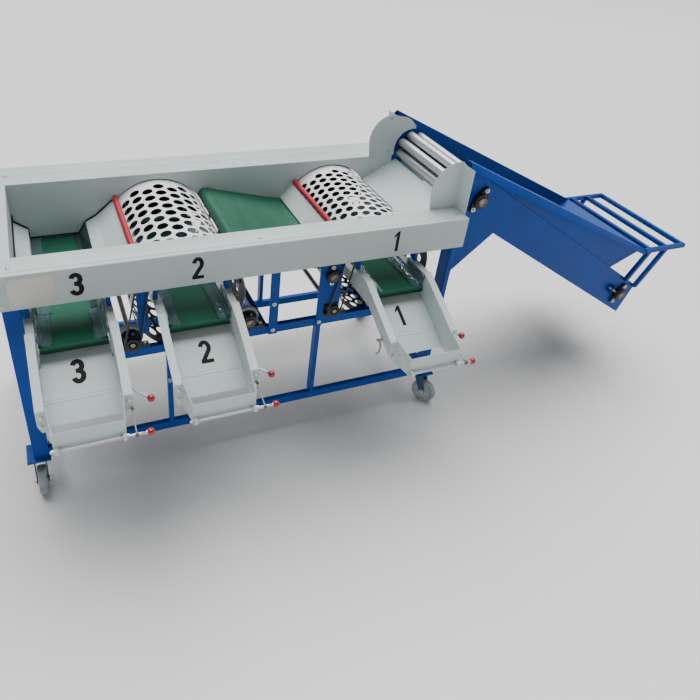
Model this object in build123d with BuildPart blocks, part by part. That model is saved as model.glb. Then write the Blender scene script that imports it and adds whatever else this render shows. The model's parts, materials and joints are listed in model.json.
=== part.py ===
from build123d import *
import os
from math import cos, hypot, pi, radians, sin, sqrt

os.makedirs("parts", exist_ok=True)

# Potato sorting machine on casters: a trough with two perforated drums and a lift belt between them,
# three discharge belts with chutes, and a roller elevator with a hopper at the feed end.
# Millimetres. +X runs to the feed end, +Y to the back, +Z up. The origin is on the floor, under the
# middle of the trough.

# Fits shared by all pieces
bore_gap = 0.05
run_gap = 0.3
pass_gap = 2
shaft_proud = 2

# Trough
trough_length = 1840
trough_depth = 876
rim_height = 1070
panel_height = 136
front_rim = 116
back_rim = 174
end_rim = 57
sheet = 2
bend_radius = 1.5
wall_height = 188
arch_gap = 6
bay_half = 101
bay_drop = 25
bay_foot = 6
bay_knee_rise = 50
bay_knee_out = 2
bay_shelf_rise = 58
bay_shelf_out = 32
bay_step_rise = 82
bay_step_out = 76
bay_outlet_rise = 105
slide_gap = 4
slide_backing = 6
feed_low_angle = 37.3
feed_high_angle = 32.6
transfer_angle = 70

# Frame
front_inset = 40
back_inset = 61
rail_height = 40
rail_depth = 25
tube_wall = 2.5
tube_round = 3
end_leg_width = 60
end_leg_depth = 40
feed_leg_width = 25
leg_foot = 180
low_rail_rise = 5
mid_rail = 609
post_width = 20
post_depth = 40
post_gap = 3
second_post_x1 = -349
cross_rail_x1 = 55
plate = 6
plate_half = 50
plate_notch = 40
upright_half = 20
upright_shift = 10
bar_half = 19
bar_shift = 118

# Casters
caster_radius = 62.5
caster_width = 34
caster_trail = 42
caster_plate_x = 90
caster_plate_y = 105
caster_plate_t = 8
kingpin_radius = 10
axle_radius = 6
fork_arm = 4
fork_side_gap = 3
tread_round = 6
crown_t = 12
crown_radius = 32
arm_top_half = 26
arm_foot = 15
end_caster_out = 12
front_caster_back = 12
back_caster_in = 8
front_caster_yaw = {"fl": -90, "fr": -61}
back_caster_yaw = {"bl": 100, "br": 20}

# Drums and their support wheels
drum_radius = 222
drum_wall = 3
drum_z = 817
drum_1_x = 582
drum_2_x = -261
drum_front_gap = 7
drum_back_gap = 32
small_hole = 36
small_pitch = 50
large_hole = 46
large_pitch = 63
plain_band = 30
seam_gap = 0.2
support_radius = 49.7
support_width = 24
support_inset = 4
support_shaft = 10
pillow_rise = 33
pillow_length = 127
pillow_dome = 29
pillow_foot = 14

# Ejector rollers beside the drums
ejector_radius = 12
ejector_shaft = 6
ejector_gap = 3
ejector_angle = 41.2
ejector_end_gap = 4
ejector_tail = 12

# Lift belt between the drums
lift_radius = 25
lift_shaft = 10
lift_belt = 3
lift_low_gap = 18.4
lift_low_angle = 10.7
lift_high_gap = 8
lift_high_angle = 32.8
lift_end_gap = 5
lift_belt_edge = 3
bed_sheet = 3
lift_flange_t = 26
lift_flange_r = 27
lift_flange_end = 11
lift_flange_half = 37
high_housing_t = 24
high_housing_r = 26

# Chain drives
chain_width = 6
chain_height = 8
chain_stand_off = 5
sprocket_big = 25
sprocket_small = 18

# Discharge belts
bay_x = -704
belt_width = 228
belt_thick = 3
belt_top = 815
pulley_radius = 25
pulley_edge = 3
nose_reach = 70
nose_radius = 11
nose_axle = 6
drive_shaft = 12
drive_over = 22
bed_end_gap = 35
web_gap = 7
web = 3
web_flange = 25
web_above = 53
web_above_inside = 15
web_below = 68
web_nose = 33
web_tail = 33
web_round = 30
hanger_width = 15
hanger_inset = 6
tray_gap = 1

# Skirts over the belts' outer ends
skirt = 2
skirt_lean = 51
skirt_lift = 3

# Chutes
chute_slope = 26
chute_depth = 101
chute_length = 283
chute_flange = 29
chute_wall = 2
chute_keel = 9
chute_rise = 5
chute_start = 9
chute_tongue_start = 28
chute_floor_start = 87
chute_floor_end = 212
flap_rod = 4
flap_s = 220
flap_length = 84
flap_plate = 2
flap_edge = 4
flap_seat = 1
lever_x = 34
knob_radius = 13.5
knob_out = 59
knob_forward = 65
knob_drop = 5.5
knob_seat = 5
rod_over = 6
box_lap = 60
box_kink = 15
box_reach = 110
box_front = 80
box_fall = 21.5
box_taper = 12
box_wall = 2
box_heel_out = 11
box_heel_low = 15
box_toe_in = 31
box_toe_up = 20
tab_height = 90
tab_cut_in = 12
tab_cut_up = 30
clamp_rod = 5
clamp_stand_off = 11
clamp_rise = 15
clamp_eye_x = 105
clamp_eye_width = 12
clamp_eye = 9
clamp_out = 41
clamp_crank = 25
clamp_crank_angle = 48
clamp_knob_x = 66

# Feed elevator
elevator_slope = 31.6
elevator_length = 1314
head_out = 106
head_rise = 32
elevator_up = 90
elevator_down = 90
elevator_plate = 4
elevator_side_gap = 12
back_side_gap = 8
tail_top_over = 80
tail_low_over = 122
knee_u = 209
elevator_foot = 701
mount_flange = 36
mount_flange_t = 3
mount_flange_drop = 8
roller_radius = 21
roller_pitch_radius = 68
roller_count = 56
roller_pin = 6
roller_wall = 2.5
roller_plug = 6
roller_vent = 3
chain_band = 16
chain_band_t = 4
chain_side_gap = 3
roller_side_gap = 2
head_shaft = 12.5
head_over = 4
hopper_sheet = 3
hopper_lap = 30
hopper_head_u = -185
hopper_head_v = 108
hopper_tail_u = 1221
hopper_tail_v = 267
hopper_foot_u = 1107
hopper_lip = 22
hopper_hem = 20
rack_tube = 22
rack_first = 46
rack_step = 120
rack_drop = 12
rack_start = 8
brace_back = 38
flange_bearing_t = 30
flange_foot_share = 0.45
flange_bearing_r = 34
flange_bearing_end = 15
flange_bearing_half = 50
takeup_slot = 60

# Head cheeks
cheek_cut = 99
cheek_flange = 83
cheek_inset = 2
cheek_deep = 139
cheek_height = 208
cheek_shoulder = 83
cheek_crown = 35
cheek_nose = 15
cheek_slant = 8

# Gear motors
gearbox_half = 45
gearbox_y = 56
gearbox_rise = 38
gearbox_gap = 2
motor_radius = 39
motor_length = 180
motor_rise = 17
head_motor_drop = 5
belt_gearbox_x = 148
belt_gearbox_half = 28
belt_gearbox_deep = 42
belt_motor_radius = 40
belt_motor_hang = 20
belt_hanger_half = 8
belt_hanger_edge = 4

# Fasteners
screw_radius = 7
screw_height = 4
bolt_radius = 7
bolt_height = 5
rim_screw_in = 47
back_screw_in = 95
feed_screw_in = 30
middle_screw_x = 3
tab_bolts_low = (24, 62)
plate_bolt_in = 16
mount_bolt_rise = 60
mount_bolt_drop = 120


# Places that follow from the sizes

end_x = -trough_length / 2
feed_x = trough_length / 2
front_y = -trough_depth / 2
back_y = trough_depth / 2
rim_under = rim_height - sheet
panel_low = rim_height - panel_height
wall_front = front_y + front_rim
wall_back = back_y - back_rim
wall_low = rim_under - wall_height
bay_end = end_x + end_rim

frame_front = front_y + front_inset
frame_back = back_y - back_inset
feed_leg_depth = wall_front - sheet - frame_front
rail_in_front = frame_front + rail_depth
rail_in_back = frame_back - rail_depth
top_rail = rim_under - rail_height
low_rail = leg_foot + low_rail_rise
mid_rail_top = mid_rail + rail_height
end_leg_0 = end_x + sheet
end_leg_1 = end_leg_0 + end_leg_width
feed_leg_0 = feed_x - feed_leg_width
end_legs_y = ((frame_front, frame_front + end_leg_depth), (frame_back - end_leg_depth, frame_back))
feed_legs_y = ((frame_front, frame_front + feed_leg_depth), (frame_back - feed_leg_depth, frame_back))
rails_y = ((frame_front, rail_in_front), (rail_in_back, frame_back))
plates_y = ((frame_front - plate, frame_front), (frame_back, frame_back + plate))

drum_front = rail_in_front + drum_front_gap
drum_back = rail_in_back - drum_back_gap
support_z = mid_rail_top + pillow_rise
support_reach = drum_radius + run_gap + support_radius
support_spread = sqrt(support_reach**2 - (drum_z - support_z) ** 2)
support_x = {
    "1l": drum_1_x - support_spread,
    "1r": drum_1_x + support_spread,
    "2l": drum_2_x - support_spread,
    "2r": drum_2_x + support_spread,
}
support_wheels_y = (
    (drum_front + support_inset, drum_front + support_inset + support_width),
    (drum_back - support_inset - support_width, drum_back - support_inset),
)


def round_drum(drum_x, reach, angle):
    """Point in XZ at a distance from a drum's axis, angle measured up from +X."""
    return (drum_x + reach * cos(radians(angle)), drum_z + reach * sin(radians(angle)))


ejector_reach = drum_radius + ejector_gap + ejector_radius
ejector_at = [round_drum(x, ejector_reach, 180 - ejector_angle) for x in (drum_1_x, drum_2_x)]
lift_inner = lift_radius + run_gap
lift_outer = lift_inner + lift_belt
lift_low = round_drum(drum_1_x, drum_radius + lift_low_gap + lift_outer, 180 - lift_low_angle)
lift_high = round_drum(drum_2_x, drum_radius + lift_high_gap + lift_outer, lift_high_angle)
lift_y = (wall_front + lift_end_gap, wall_back - lift_end_gap)

belts_x = (drum_1_x, drum_2_x, bay_x)
pulley_inner = pulley_radius + run_gap
pulley_outer = pulley_inner + belt_thick
pulley_z = belt_top - pulley_outer
nose_inner = nose_radius + run_gap
nose_outer = nose_inner + belt_thick
nose_z = belt_top - nose_outer
nose_y = front_y - nose_reach
tail_y = rail_in_back
web_in = belt_width / 2 + web_gap
web_out = web_in + web
web_top = belt_top + web_above
web_top_inside = belt_top + web_above_inside
web_bottom = belt_top - web_below
web_front = nose_y - web_nose
web_back = tail_y + web_tail
web_step = rail_in_front + 2 * plate
pulley_half = web_in - pulley_edge - run_gap

chain_front = frame_front - plate - chain_stand_off - chain_width
chain_back_y = drum_back + support_inset + chain_stand_off
chain_back = (chain_back_y, chain_back_y + chain_width)

chute_y = nose_y + chute_start
chute_z = web_top + chute_rise


def chute(s, h):
    """Point in YZ on a chute: s down the slope from its top, h below the flange line."""
    a = radians(chute_slope)
    return (chute_y - s * cos(a) + h * sin(a), chute_z - s * sin(a) - h * cos(a))


flap_y, flap_z = chute(flap_s, chute_depth + flap_rod - flap_seat)
box_top_y, box_top_z = chute(chute_length - box_kink, 0)
box_end_y = box_top_y - box_reach
box_end_z = box_top_z - box_fall
box_low_z = box_end_z - box_front
clamp_y = box_end_y - sheet - clamp_stand_off
clamp_z = box_low_z + clamp_rise
tab_y = chute(chute_length, 0)[0] - tray_gap
tab_z = chute(chute_length, 0)[1]

head_x = feed_x + head_out
head_z = rim_height + head_rise


def slope(u, v):
    """Point in XZ on the elevator: u down the slope from the head axis, v square to it and up."""
    a = radians(elevator_slope)
    return (head_x + u * cos(a) + v * sin(a), head_z - u * sin(a) + v * cos(a))


tail_x, tail_z = slope(elevator_length, 0)
side_in = (wall_front - elevator_side_gap, wall_back + back_side_gap)
side_out = (side_in[0] - elevator_plate, side_in[1] + elevator_plate)
hopper_tail = slope(hopper_tail_u, hopper_tail_v)
hopper_foot = slope(hopper_foot_u, elevator_up)
chain_bands_y = (
    (side_in[0] + chain_side_gap, side_in[0] + chain_side_gap + chain_band_t),
    (side_in[1] - chain_side_gap - chain_band_t, side_in[1] - chain_side_gap),
)
rollers_y = (chain_bands_y[0][1] + roller_side_gap, chain_bands_y[1][0] - roller_side_gap)


# Helpers that add a plain shape to the part block in which they are called

def block(x0, x1, y0, y1, z0, z1, mode=Mode.ADD):
    with BuildSketch(Plane.XY.offset(z0)) as face:
        with Locations(((x0 + x1) / 2, (y0 + y1) / 2)):
            Rectangle(abs(x1 - x0), abs(y1 - y0))
    extrude(face.sketch, amount=z1 - z0, mode=mode)


def tube(x0, x1, y0, y1, z0, z1, along):
    """Rectangular tube with rounded corners, open at the ends of its long way."""
    if along == "x":
        plane, length = Plane.YZ.offset(x0), x1 - x0
        (u0, u1), (v0, v1) = (y0, y1), (z0, z1)
    elif along == "y":
        plane, length = Plane.XZ.offset(-y0), y0 - y1
        (u0, u1), (v0, v1) = (x0, x1), (z0, z1)
    else:
        plane, length = Plane.XY.offset(z0), z1 - z0
        (u0, u1), (v0, v1) = (x0, x1), (y0, y1)
    with BuildSketch(plane) as profile:
        with Locations(((u0 + u1) / 2, (v0 + v1) / 2)):
            RectangleRounded(u1 - u0, v1 - v0, tube_round)
            Rectangle(u1 - u0 - 2 * tube_wall, v1 - v0 - 2 * tube_wall, mode=Mode.SUBTRACT)
    extrude(profile.sketch, amount=length)


def slab_xz(points, y0, y1, mode=Mode.ADD):
    with BuildSketch(Plane.XZ.offset(-y0)) as face:
        Polygon(*points, align=None)
    extrude(face.sketch, amount=-(y1 - y0), mode=mode)


def slab_yz(points, x0, x1, mode=Mode.ADD):
    with BuildSketch(Plane.YZ.offset(x0)) as face:
        Polygon(*points, align=None)
    extrude(face.sketch, amount=x1 - x0, mode=mode)


def disc_y(at, radius, y0, y1, mode=Mode.ADD):
    with BuildSketch(Plane.XZ.offset(-y0)) as face:
        with Locations(at):
            Circle(radius)
    extrude(face.sketch, amount=-(y1 - y0), mode=mode)


def disc_x(at, radius, x0, x1, mode=Mode.ADD):
    with BuildSketch(Plane.YZ.offset(x0)) as face:
        with Locations(at):
            Circle(radius)
    extrude(face.sketch, amount=x1 - x0, mode=mode)


def disc_z(at, radius, z0, z1, mode=Mode.ADD):
    with BuildSketch(Plane.XY.offset(z0)) as face:
        with Locations(at):
            Circle(radius)
    extrude(face.sketch, amount=z1 - z0, mode=mode)


def rod(start, end, radius, mode=Mode.ADD):
    path = Vector(*end) - Vector(*start)
    with BuildSketch(Plane(origin=start, z_dir=path)) as face:
        Circle(radius)
    extrude(face.sketch, amount=path.length, mode=mode)


def toward(start, end, distance):
    """Point at a distance from the start on the way to the end."""
    path = Vector(*end) - Vector(*start)
    return tuple(Vector(*start) + path * (distance / path.length))


def ball(at, radius):
    with Locations(at):
        Sphere(radius)


def loop_y(first, second, radius_1, radius_2, y0, y1, mode=Mode.ADD):
    with BuildSketch(Plane.XZ.offset(-y0)) as face:
        with Locations(first):
            Circle(radius_1)
        with Locations(second):
            Circle(radius_2)
        make_hull()
    extrude(face.sketch, amount=-(y1 - y0), mode=mode)


def loop_x(first, second, radius_1, radius_2, x0, x1, mode=Mode.ADD):
    with BuildSketch(Plane.YZ.offset(x0)) as face:
        with Locations(first):
            Circle(radius_1)
        with Locations(second):
            Circle(radius_2)
        make_hull()
    extrude(face.sketch, amount=x1 - x0, mode=mode)


def strip(points, thickness):
    """Outline in a plane of a bent sheet that follows the points, with its thickness on the lower side."""
    lower = []
    for i, (x, z) in enumerate(points):
        ax, az = points[max(i - 1, 0)]
        bx, bz = points[min(i + 1, len(points) - 1)]
        run = hypot(bx - ax, bz - az)
        side = 1 if bx > ax else -1
        lower.append((x + side * thickness * (bz - az) / run, z - side * thickness * (bx - ax) / run))
    return list(points) + lower[::-1]


def save(piece, name):
    piece.part.label = name
    export_step(piece.part, f"parts/{name}.step")


# Legs of the frame and the middle posts

post_x1 = support_x["1l"] - gearbox_half - post_gap
with BuildPart() as frame_legs:
    for y0, y1 in end_legs_y:
        tube(end_leg_0, end_leg_1, y0, y1, leg_foot, rim_under, "z")
    for y0, y1 in feed_legs_y:
        tube(feed_leg_0, feed_x, y0, y1, leg_foot, rim_under, "z")
    for y0, y1 in ((frame_front, frame_front + post_depth), (frame_back - post_depth, frame_back)):
        tube(post_x1 - post_width, post_x1, y0, y1, low_rail + rail_height, mid_rail, "z")
    for y0, y1 in rails_y:
        tube(second_post_x1 - post_width, second_post_x1, y0, y1, low_rail + rail_height, mid_rail, "z")
save(frame_legs, "frame_legs")


# Rails along the front and back, and side rails

with BuildPart() as frame_rails:
    for y0, y1 in rails_y:
        for z0 in (low_rail, mid_rail, top_rail):
            tube(end_leg_1, feed_leg_0, y0, y1, z0, z0 + rail_height, "x")
    for z0 in (low_rail, mid_rail, top_rail):
        side_x = (end_leg_0, end_leg_0 + rail_depth)
        tube(*side_x, end_legs_y[0][1], end_legs_y[1][0], z0, z0 + rail_height, "y")
    for z0 in (low_rail, mid_rail):
        tube(feed_leg_0, feed_x, feed_legs_y[0][1], feed_legs_y[1][0], z0, z0 + rail_height, "y")
    cross_x = (cross_rail_x1 - rail_depth, cross_rail_x1)
    tube(*cross_x, rails_y[0][1], rails_y[1][0], mid_rail, mid_rail + rail_height, "y")
save(frame_rails, "frame_rails")


# Bearing plates on the front and back of the rails, and hangers of the discharge belts

bar_x = lift_high[0] + bar_shift
upright_x = ejector_at[1][0] - upright_shift
upright_low = support_z + plate_notch
with BuildPart() as mounting_plates:
    plate_left = lift_low[0] - plate_half
    plate_right = lift_low[0] + plate_half
    for y0, y1 in plates_y:
        slab_xz(
            [
                (plate_left, mid_rail),
                (post_x1, mid_rail),
                (post_x1, upright_low),
                (plate_right, upright_low),
                (plate_right, rim_under),
                (plate_left, rim_under),
            ],
            y0,
            y1,
        )
        disc_y(lift_low, lift_shaft + pass_gap, y0, y1, Mode.SUBTRACT)
        block(bar_x - bar_half, bar_x + bar_half, y0, y1, mid_rail, rim_under)
    block(upright_x - upright_half, upright_x + upright_half, *plates_y[0], upright_low, rim_under)
    disc_y(ejector_at[1], ejector_shaft + pass_gap, *plates_y[0], Mode.SUBTRACT)
    for x in belts_x:
        for side in (-1, 1):
            inner = x + side * (web_out + hanger_inset)
            outer = inner + side * hanger_width
            block(min(inner, outer), max(inner, outer), *rails_y[0], web_top, top_rail)
            block(min(inner, outer), max(inner, outer), *rails_y[1], web_top_inside, top_rail)
save(mounting_plates, "mounting_plates")


# Casters

end_caster_x = end_leg_0 + end_leg_width / 2
feed_caster_x = feed_x - feed_leg_width / 2
caster_at = {
    "fl": (end_caster_x - end_caster_out, sum(end_legs_y[0]) / 2 + front_caster_back),
    "bl": (end_caster_x - end_caster_out, sum(end_legs_y[1]) / 2 - back_caster_in),
    "fr": (feed_caster_x, sum(feed_legs_y[0]) / 2),
    "br": (feed_caster_x, sum(feed_legs_y[1]) / 2),
}
caster_yaw = {**front_caster_yaw, **back_caster_yaw}
caster_plate_low = leg_foot - caster_plate_t
crown_top = caster_plate_low - run_gap

with BuildPart() as caster_plates:
    for x, y in caster_at.values():
        half_x = caster_plate_x / 2
        half_y = caster_plate_y / 2
        block(x - half_x, x + half_x, y - half_y, y + half_y, caster_plate_low, leg_foot)
        disc_z((x, y), kingpin_radius + bore_gap, caster_plate_low, leg_foot, Mode.SUBTRACT)
save(caster_plates, "caster_plates")


def caster_side(corner):
    """Upright plane through a caster's swivel axis, local x along the trail, local y up."""
    yaw = radians(caster_yaw[corner])
    x_dir = (cos(yaw), sin(yaw), 0)
    return Plane(origin=(*caster_at[corner], 0), x_dir=x_dir, z_dir=(sin(yaw), -cos(yaw), 0))


for corner in caster_at:
    side_plane = caster_side(corner)
    arm_in = caster_width / 2 + fork_side_gap
    with BuildPart() as caster_fork:
        disc_z(caster_at[corner], crown_radius, crown_top - crown_t, crown_top)
        disc_z(caster_at[corner], kingpin_radius, crown_top, leg_foot - bore_gap)
        for start in (arm_in, -arm_in - fork_arm):
            with BuildSketch(side_plane.offset(start)) as arm:
                Polygon(
                    (-arm_top_half, crown_top),
                    (arm_top_half, crown_top),
                    (caster_trail + arm_foot, caster_radius),
                    (caster_trail - arm_foot, caster_radius),
                    align=None,
                )
                with Locations((caster_trail, caster_radius)):
                    Circle(arm_foot)
            extrude(arm.sketch, amount=fork_arm)
        with BuildSketch(side_plane.offset(-arm_in - fork_arm)) as bridge:
            with Locations((0, crown_top - crown_t / 2)):
                Rectangle(2 * arm_top_half, crown_t)
        extrude(bridge.sketch, amount=2 * (arm_in + fork_arm))
        with BuildSketch(side_plane.offset(-arm_in - 2 * fork_arm)) as axle:
            with Locations((caster_trail, caster_radius)):
                Circle(axle_radius)
        extrude(axle.sketch, amount=2 * (arm_in + 2 * fork_arm))
    save(caster_fork, f"caster_fork_{corner}")

    with BuildPart() as caster_wheel:
        with BuildSketch(side_plane.offset(-caster_width / 2)) as tread:
            with Locations((caster_trail, caster_radius)):
                Circle(caster_radius)
        extrude(tread.sketch, amount=caster_width)
        fillet(caster_wheel.edges().filter_by(GeomType.CIRCLE), tread_round)
        with BuildSketch(side_plane.offset(-arm_in + run_gap)) as hub:
            with Locations((caster_trail, caster_radius)):
                Circle(arm_foot)
        extrude(hub.sketch, amount=2 * (arm_in - run_gap))
        with BuildSketch(side_plane.offset(-arm_in)) as bore:
            with Locations((caster_trail, caster_radius)):
                Circle(axle_radius + bore_gap)
        extrude(bore.sketch, amount=2 * arm_in, mode=Mode.SUBTRACT)
    save(caster_wheel, f"caster_wheel_{corner}")


# Trough panels, each with its rim

def bent_panel(face_y, rim_y):
    """Upright face with the rim bent over from its top, along the whole trough."""
    inward = sheet if rim_y > face_y else -sheet
    with BuildSketch(Plane.YZ.offset(end_x)) as profile:
        Polygon(
            (face_y, panel_low),
            (face_y, rim_height),
            (rim_y, rim_height),
            (rim_y, rim_under),
            (face_y + inward, rim_under),
            (face_y + inward, panel_low),
            align=None,
        )
        fillet(profile.vertices().sort_by_distance((face_y, rim_height))[0], sheet + bend_radius)
        fillet(profile.vertices().sort_by_distance((face_y + inward, rim_under))[0], bend_radius)
    extrude(profile.sketch, amount=trough_length)


with BuildPart() as front_panel:
    bent_panel(front_y, wall_front)
save(front_panel, "front_panel")

with BuildPart() as back_panel:
    bent_panel(back_y, wall_back)
save(back_panel, "back_panel")

bay_left_x = bay_x - bay_half
bay_right_x = bay_x + bay_half
bay_left = [
    (bay_end, wall_low + bay_drop),
    (bay_left_x - bay_knee_out, belt_top + bay_knee_rise),
    (bay_left_x, belt_top + bay_foot),
]
with BuildPart() as end_panel:
    with BuildSketch(Plane.XZ.offset(-wall_front)) as profile:
        Polygon(
            (end_x, panel_low),
            (end_x, rim_height),
            (bay_end, rim_height),
            (bay_end, bay_left[0][1]),
            (bay_end - sheet, bay_left[0][1]),
            (bay_end - sheet, rim_under),
            (end_x + sheet, rim_under),
            (end_x + sheet, panel_low),
            align=None,
        )
        for corner in ((end_x, rim_height), (bay_end, rim_height)):
            fillet(profile.vertices().sort_by_distance(corner)[0], sheet + bend_radius)
    extrude(profile.sketch, amount=wall_front - wall_back)
    block(end_x, end_x + sheet, front_y + sheet, wall_front, panel_low, rim_under)
    block(end_x, end_x + sheet, wall_back, back_y - sheet, panel_low, rim_under)
save(end_panel, "end_panel")


# Slide plates between the inner walls


def below_ejector(at):
    """Top edge of a slide, just past an ejector roller and a little lower than its axis."""
    reach = ejector_radius + slide_gap
    return (at[0] - reach * cos(radians(45)), at[1] - reach * sin(radians(45)))


feed_reach = roller_pitch_radius + roller_radius + 2 * slide_gap
feed_high = (
    head_x - feed_reach * cos(radians(feed_high_angle)),
    head_z - feed_reach * sin(radians(feed_high_angle)),
)
feed_low = round_drum(drum_1_x, drum_radius + 2 * slide_gap, feed_low_angle)
transfer_reach = lift_outer + slide_gap
transfer_low = (lift_low[0] + transfer_reach * cos(radians(transfer_angle)), lift_low[1] + transfer_reach)
bay_right = [
    below_ejector(ejector_at[1]),
    (bay_right_x + bay_step_out, belt_top + bay_step_rise),
    (bay_right_x + bay_shelf_out, belt_top + bay_shelf_rise),
    (bay_right_x, belt_top + bay_foot),
]
lift_run = hypot(lift_high[0] - lift_low[0], lift_high[1] - lift_low[1])
lift_dir = ((lift_high[0] - lift_low[0]) / lift_run, (lift_high[1] - lift_low[1]) / lift_run)
lift_up = (lift_dir[1], -lift_dir[0]) if lift_dir[0] < 0 else (-lift_dir[1], lift_dir[0])


def on_lift(along, up):
    return (
        lift_low[0] + along * lift_dir[0] + up * lift_up[0],
        lift_low[1] + along * lift_dir[1] + up * lift_up[1],
    )


with BuildPart() as slide_plates:
    for line in (
        [feed_high, feed_low],
        [below_ejector(ejector_at[0]), transfer_low],
        bay_right,
        bay_left,
    ):
        slab_xz(strip(line, sheet), wall_front, wall_back)
    bed_start = 1.6 * lift_radius
    bed_up = lift_inner - run_gap
    slab_xz(
        [
            on_lift(bed_start, bed_up),
            on_lift(lift_run - bed_start, bed_up),
            on_lift(lift_run - bed_start, bed_up - bed_sheet),
            on_lift(bed_start, bed_up - bed_sheet),
        ],
        wall_front,
        wall_back,
    )
save(slide_plates, "slide_plates")


# Inner walls of the trough, arched over the drums

wall_outline = [
    (bay_end, rim_under),
    (feed_x, rim_under),
    (feed_x, wall_low),
    (bay_right_x + bay_step_out, wall_low),
    (bay_right_x + bay_shelf_out + slide_backing, belt_top + bay_shelf_rise - 2 * slide_backing),
    (bay_right_x + slide_backing, belt_top),
    (bay_left_x - slide_backing, belt_top),
    (bay_left_x - bay_knee_out - slide_backing, belt_top + bay_knee_rise - slide_backing),
    (bay_end, wall_low + bay_drop - 2 * slide_backing),
]
walls_y = ((wall_front - sheet, wall_front), (wall_back, wall_back + sheet))
with BuildPart() as inner_walls:
    for y0, y1 in walls_y:
        slab_xz(wall_outline, y0, y1)
        for x in (drum_1_x, drum_2_x):
            disc_y((x, drum_z), drum_radius + arch_gap, y0, y1, Mode.SUBTRACT)
        for at in ejector_at:
            disc_y(at, ejector_shaft + bore_gap, y0, y1, Mode.SUBTRACT)
        disc_y(lift_high, lift_shaft + pass_gap, y0, y1, Mode.SUBTRACT)
        disc_y(lift_low, lift_shaft + pass_gap, y0, y1, Mode.SUBTRACT)
    # Outlet of the last bay, over its discharge belt
    slab_xz(
        [
            (bay_left_x, belt_top - slide_backing),
            (bay_right_x, belt_top - slide_backing),
            (bay_right_x, belt_top + bay_outlet_rise),
            (bay_left_x, belt_top + bay_outlet_rise),
        ],
        *walls_y[0],
        Mode.SUBTRACT,
    )
save(inner_walls, "inner_walls")


# Head cheeks that guard the end of the feed elevator

cheek_x = feed_x - cheek_inset
cheek_top = rim_height + cheek_height
cheek_back = (feed_x - cheek_deep, rim_height + cheek_shoulder)
cheek_bulge = (feed_x - 0.8 * cheek_deep, rim_height + 0.78 * cheek_height)
cheek_crest = (feed_x - cheek_crown, cheek_top)
cheek_heel = (feed_x - 0.93 * cheek_deep, rim_height)
nose_tip = (head_x + cheek_nose, head_z + 0.8 * cheek_cut)
nose_top = (head_x - 0.7 * cheek_cut, head_z + 1.64 * cheek_cut)
nose_bulge = (head_x - 0.13 * cheek_cut, head_z + 1.36 * cheek_cut)
with BuildPart() as head_cheeks:
    with BuildSketch(Plane.XZ.offset(-walls_y[0][0])) as front_cheek:
        with BuildLine():
            Polyline(cheek_back, cheek_heel, (cheek_x, rim_height), (cheek_x, cheek_top), cheek_crest)
            ThreePointArc(cheek_crest, cheek_bulge, cheek_back)
        make_face()
    extrude(front_cheek.sketch, amount=-sheet)
    flange_y = (walls_y[0][0] - cheek_flange, walls_y[0][0])
    block(cheek_x - sheet, cheek_x, *flange_y, rim_height, cheek_top - cheek_slant)
    with BuildSketch(Plane.XZ.offset(-walls_y[1][0])) as back_cheek:
        with BuildLine():
            Polyline(cheek_back, cheek_heel, (cheek_x, rim_height), (nose_tip[0], head_z), nose_tip)
            ThreePointArc(nose_tip, nose_bulge, nose_top)
            Line(nose_top, cheek_crest)
            ThreePointArc(cheek_crest, cheek_bulge, cheek_back)
        make_face()
        with Locations((head_x, head_z)):
            Circle(cheek_cut, mode=Mode.SUBTRACT)
    extrude(back_cheek.sketch, amount=-sheet)
    flange_y = (walls_y[1][1], walls_y[1][1] + cheek_flange)
    block(cheek_x - sheet, cheek_x, *flange_y, rim_height, cheek_top - cheek_slant)
save(head_cheeks, "head_cheeks")


# Perforated drums, each of curved strips two hole columns wide

def drum_columns(pitch):
    return 2 * round(pi * drum_radius / (pitch * sin(radians(60))))


def on_drum(drum_x, y, angle):
    """Place on the shell, its local z square to it, angle measured from the top toward +X."""
    x = drum_x + drum_radius * sin(radians(angle))
    z = drum_z + drum_radius * cos(radians(angle))
    return Location((x, y, z), (0, angle, 0))


def drum_holes(drum_x, hole, pitch):
    """Places of the drum's holes: columns round the shell, every other column shifted by half a pitch."""
    columns = drum_columns(pitch)
    middle = (drum_front + walls_y[1][0]) / 2
    usable = walls_y[1][0] - drum_front - 2 * plain_band - hole
    rows = int(usable / pitch) + 1
    spots = []
    for column in range(columns):
        count = rows - column % 2
        for row in range(count):
            y = middle + (row - (count - 1) / 2) * pitch
            spots.append(on_drum(drum_x, y, 360 * column / columns))
    return spots


def drum_seams(drum_x, pitch):
    """Places of the seams between the strips, midway between two hole columns."""
    columns = drum_columns(pitch)
    middle = (drum_front + drum_back) / 2
    return [on_drum(drum_x, middle, 360 * (column + 0.5) / columns) for column in range(1, columns, 2)]


for name, drum_x, hole, pitch in (
    ("drum_small", drum_1_x, small_hole, small_pitch),
    ("drum_large", drum_2_x, large_hole, large_pitch),
):
    with BuildPart() as drum:
        disc_y((drum_x, drum_z), drum_radius, drum_front, drum_back)
        disc_y((drum_x, drum_z), drum_radius - drum_wall, drum_front, drum_back, Mode.SUBTRACT)
        with Locations(*drum_holes(drum_x, hole, pitch)):
            Cylinder(hole / 2, 6 * drum_wall, mode=Mode.SUBTRACT)
        with Locations(*drum_seams(drum_x, pitch)):
            Box(seam_gap, 2 * (drum_back - drum_front), 6 * drum_wall, mode=Mode.SUBTRACT)
    save(drum, name)


# Support shafts with their wheels; the left one of each pair carries the drive

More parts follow.
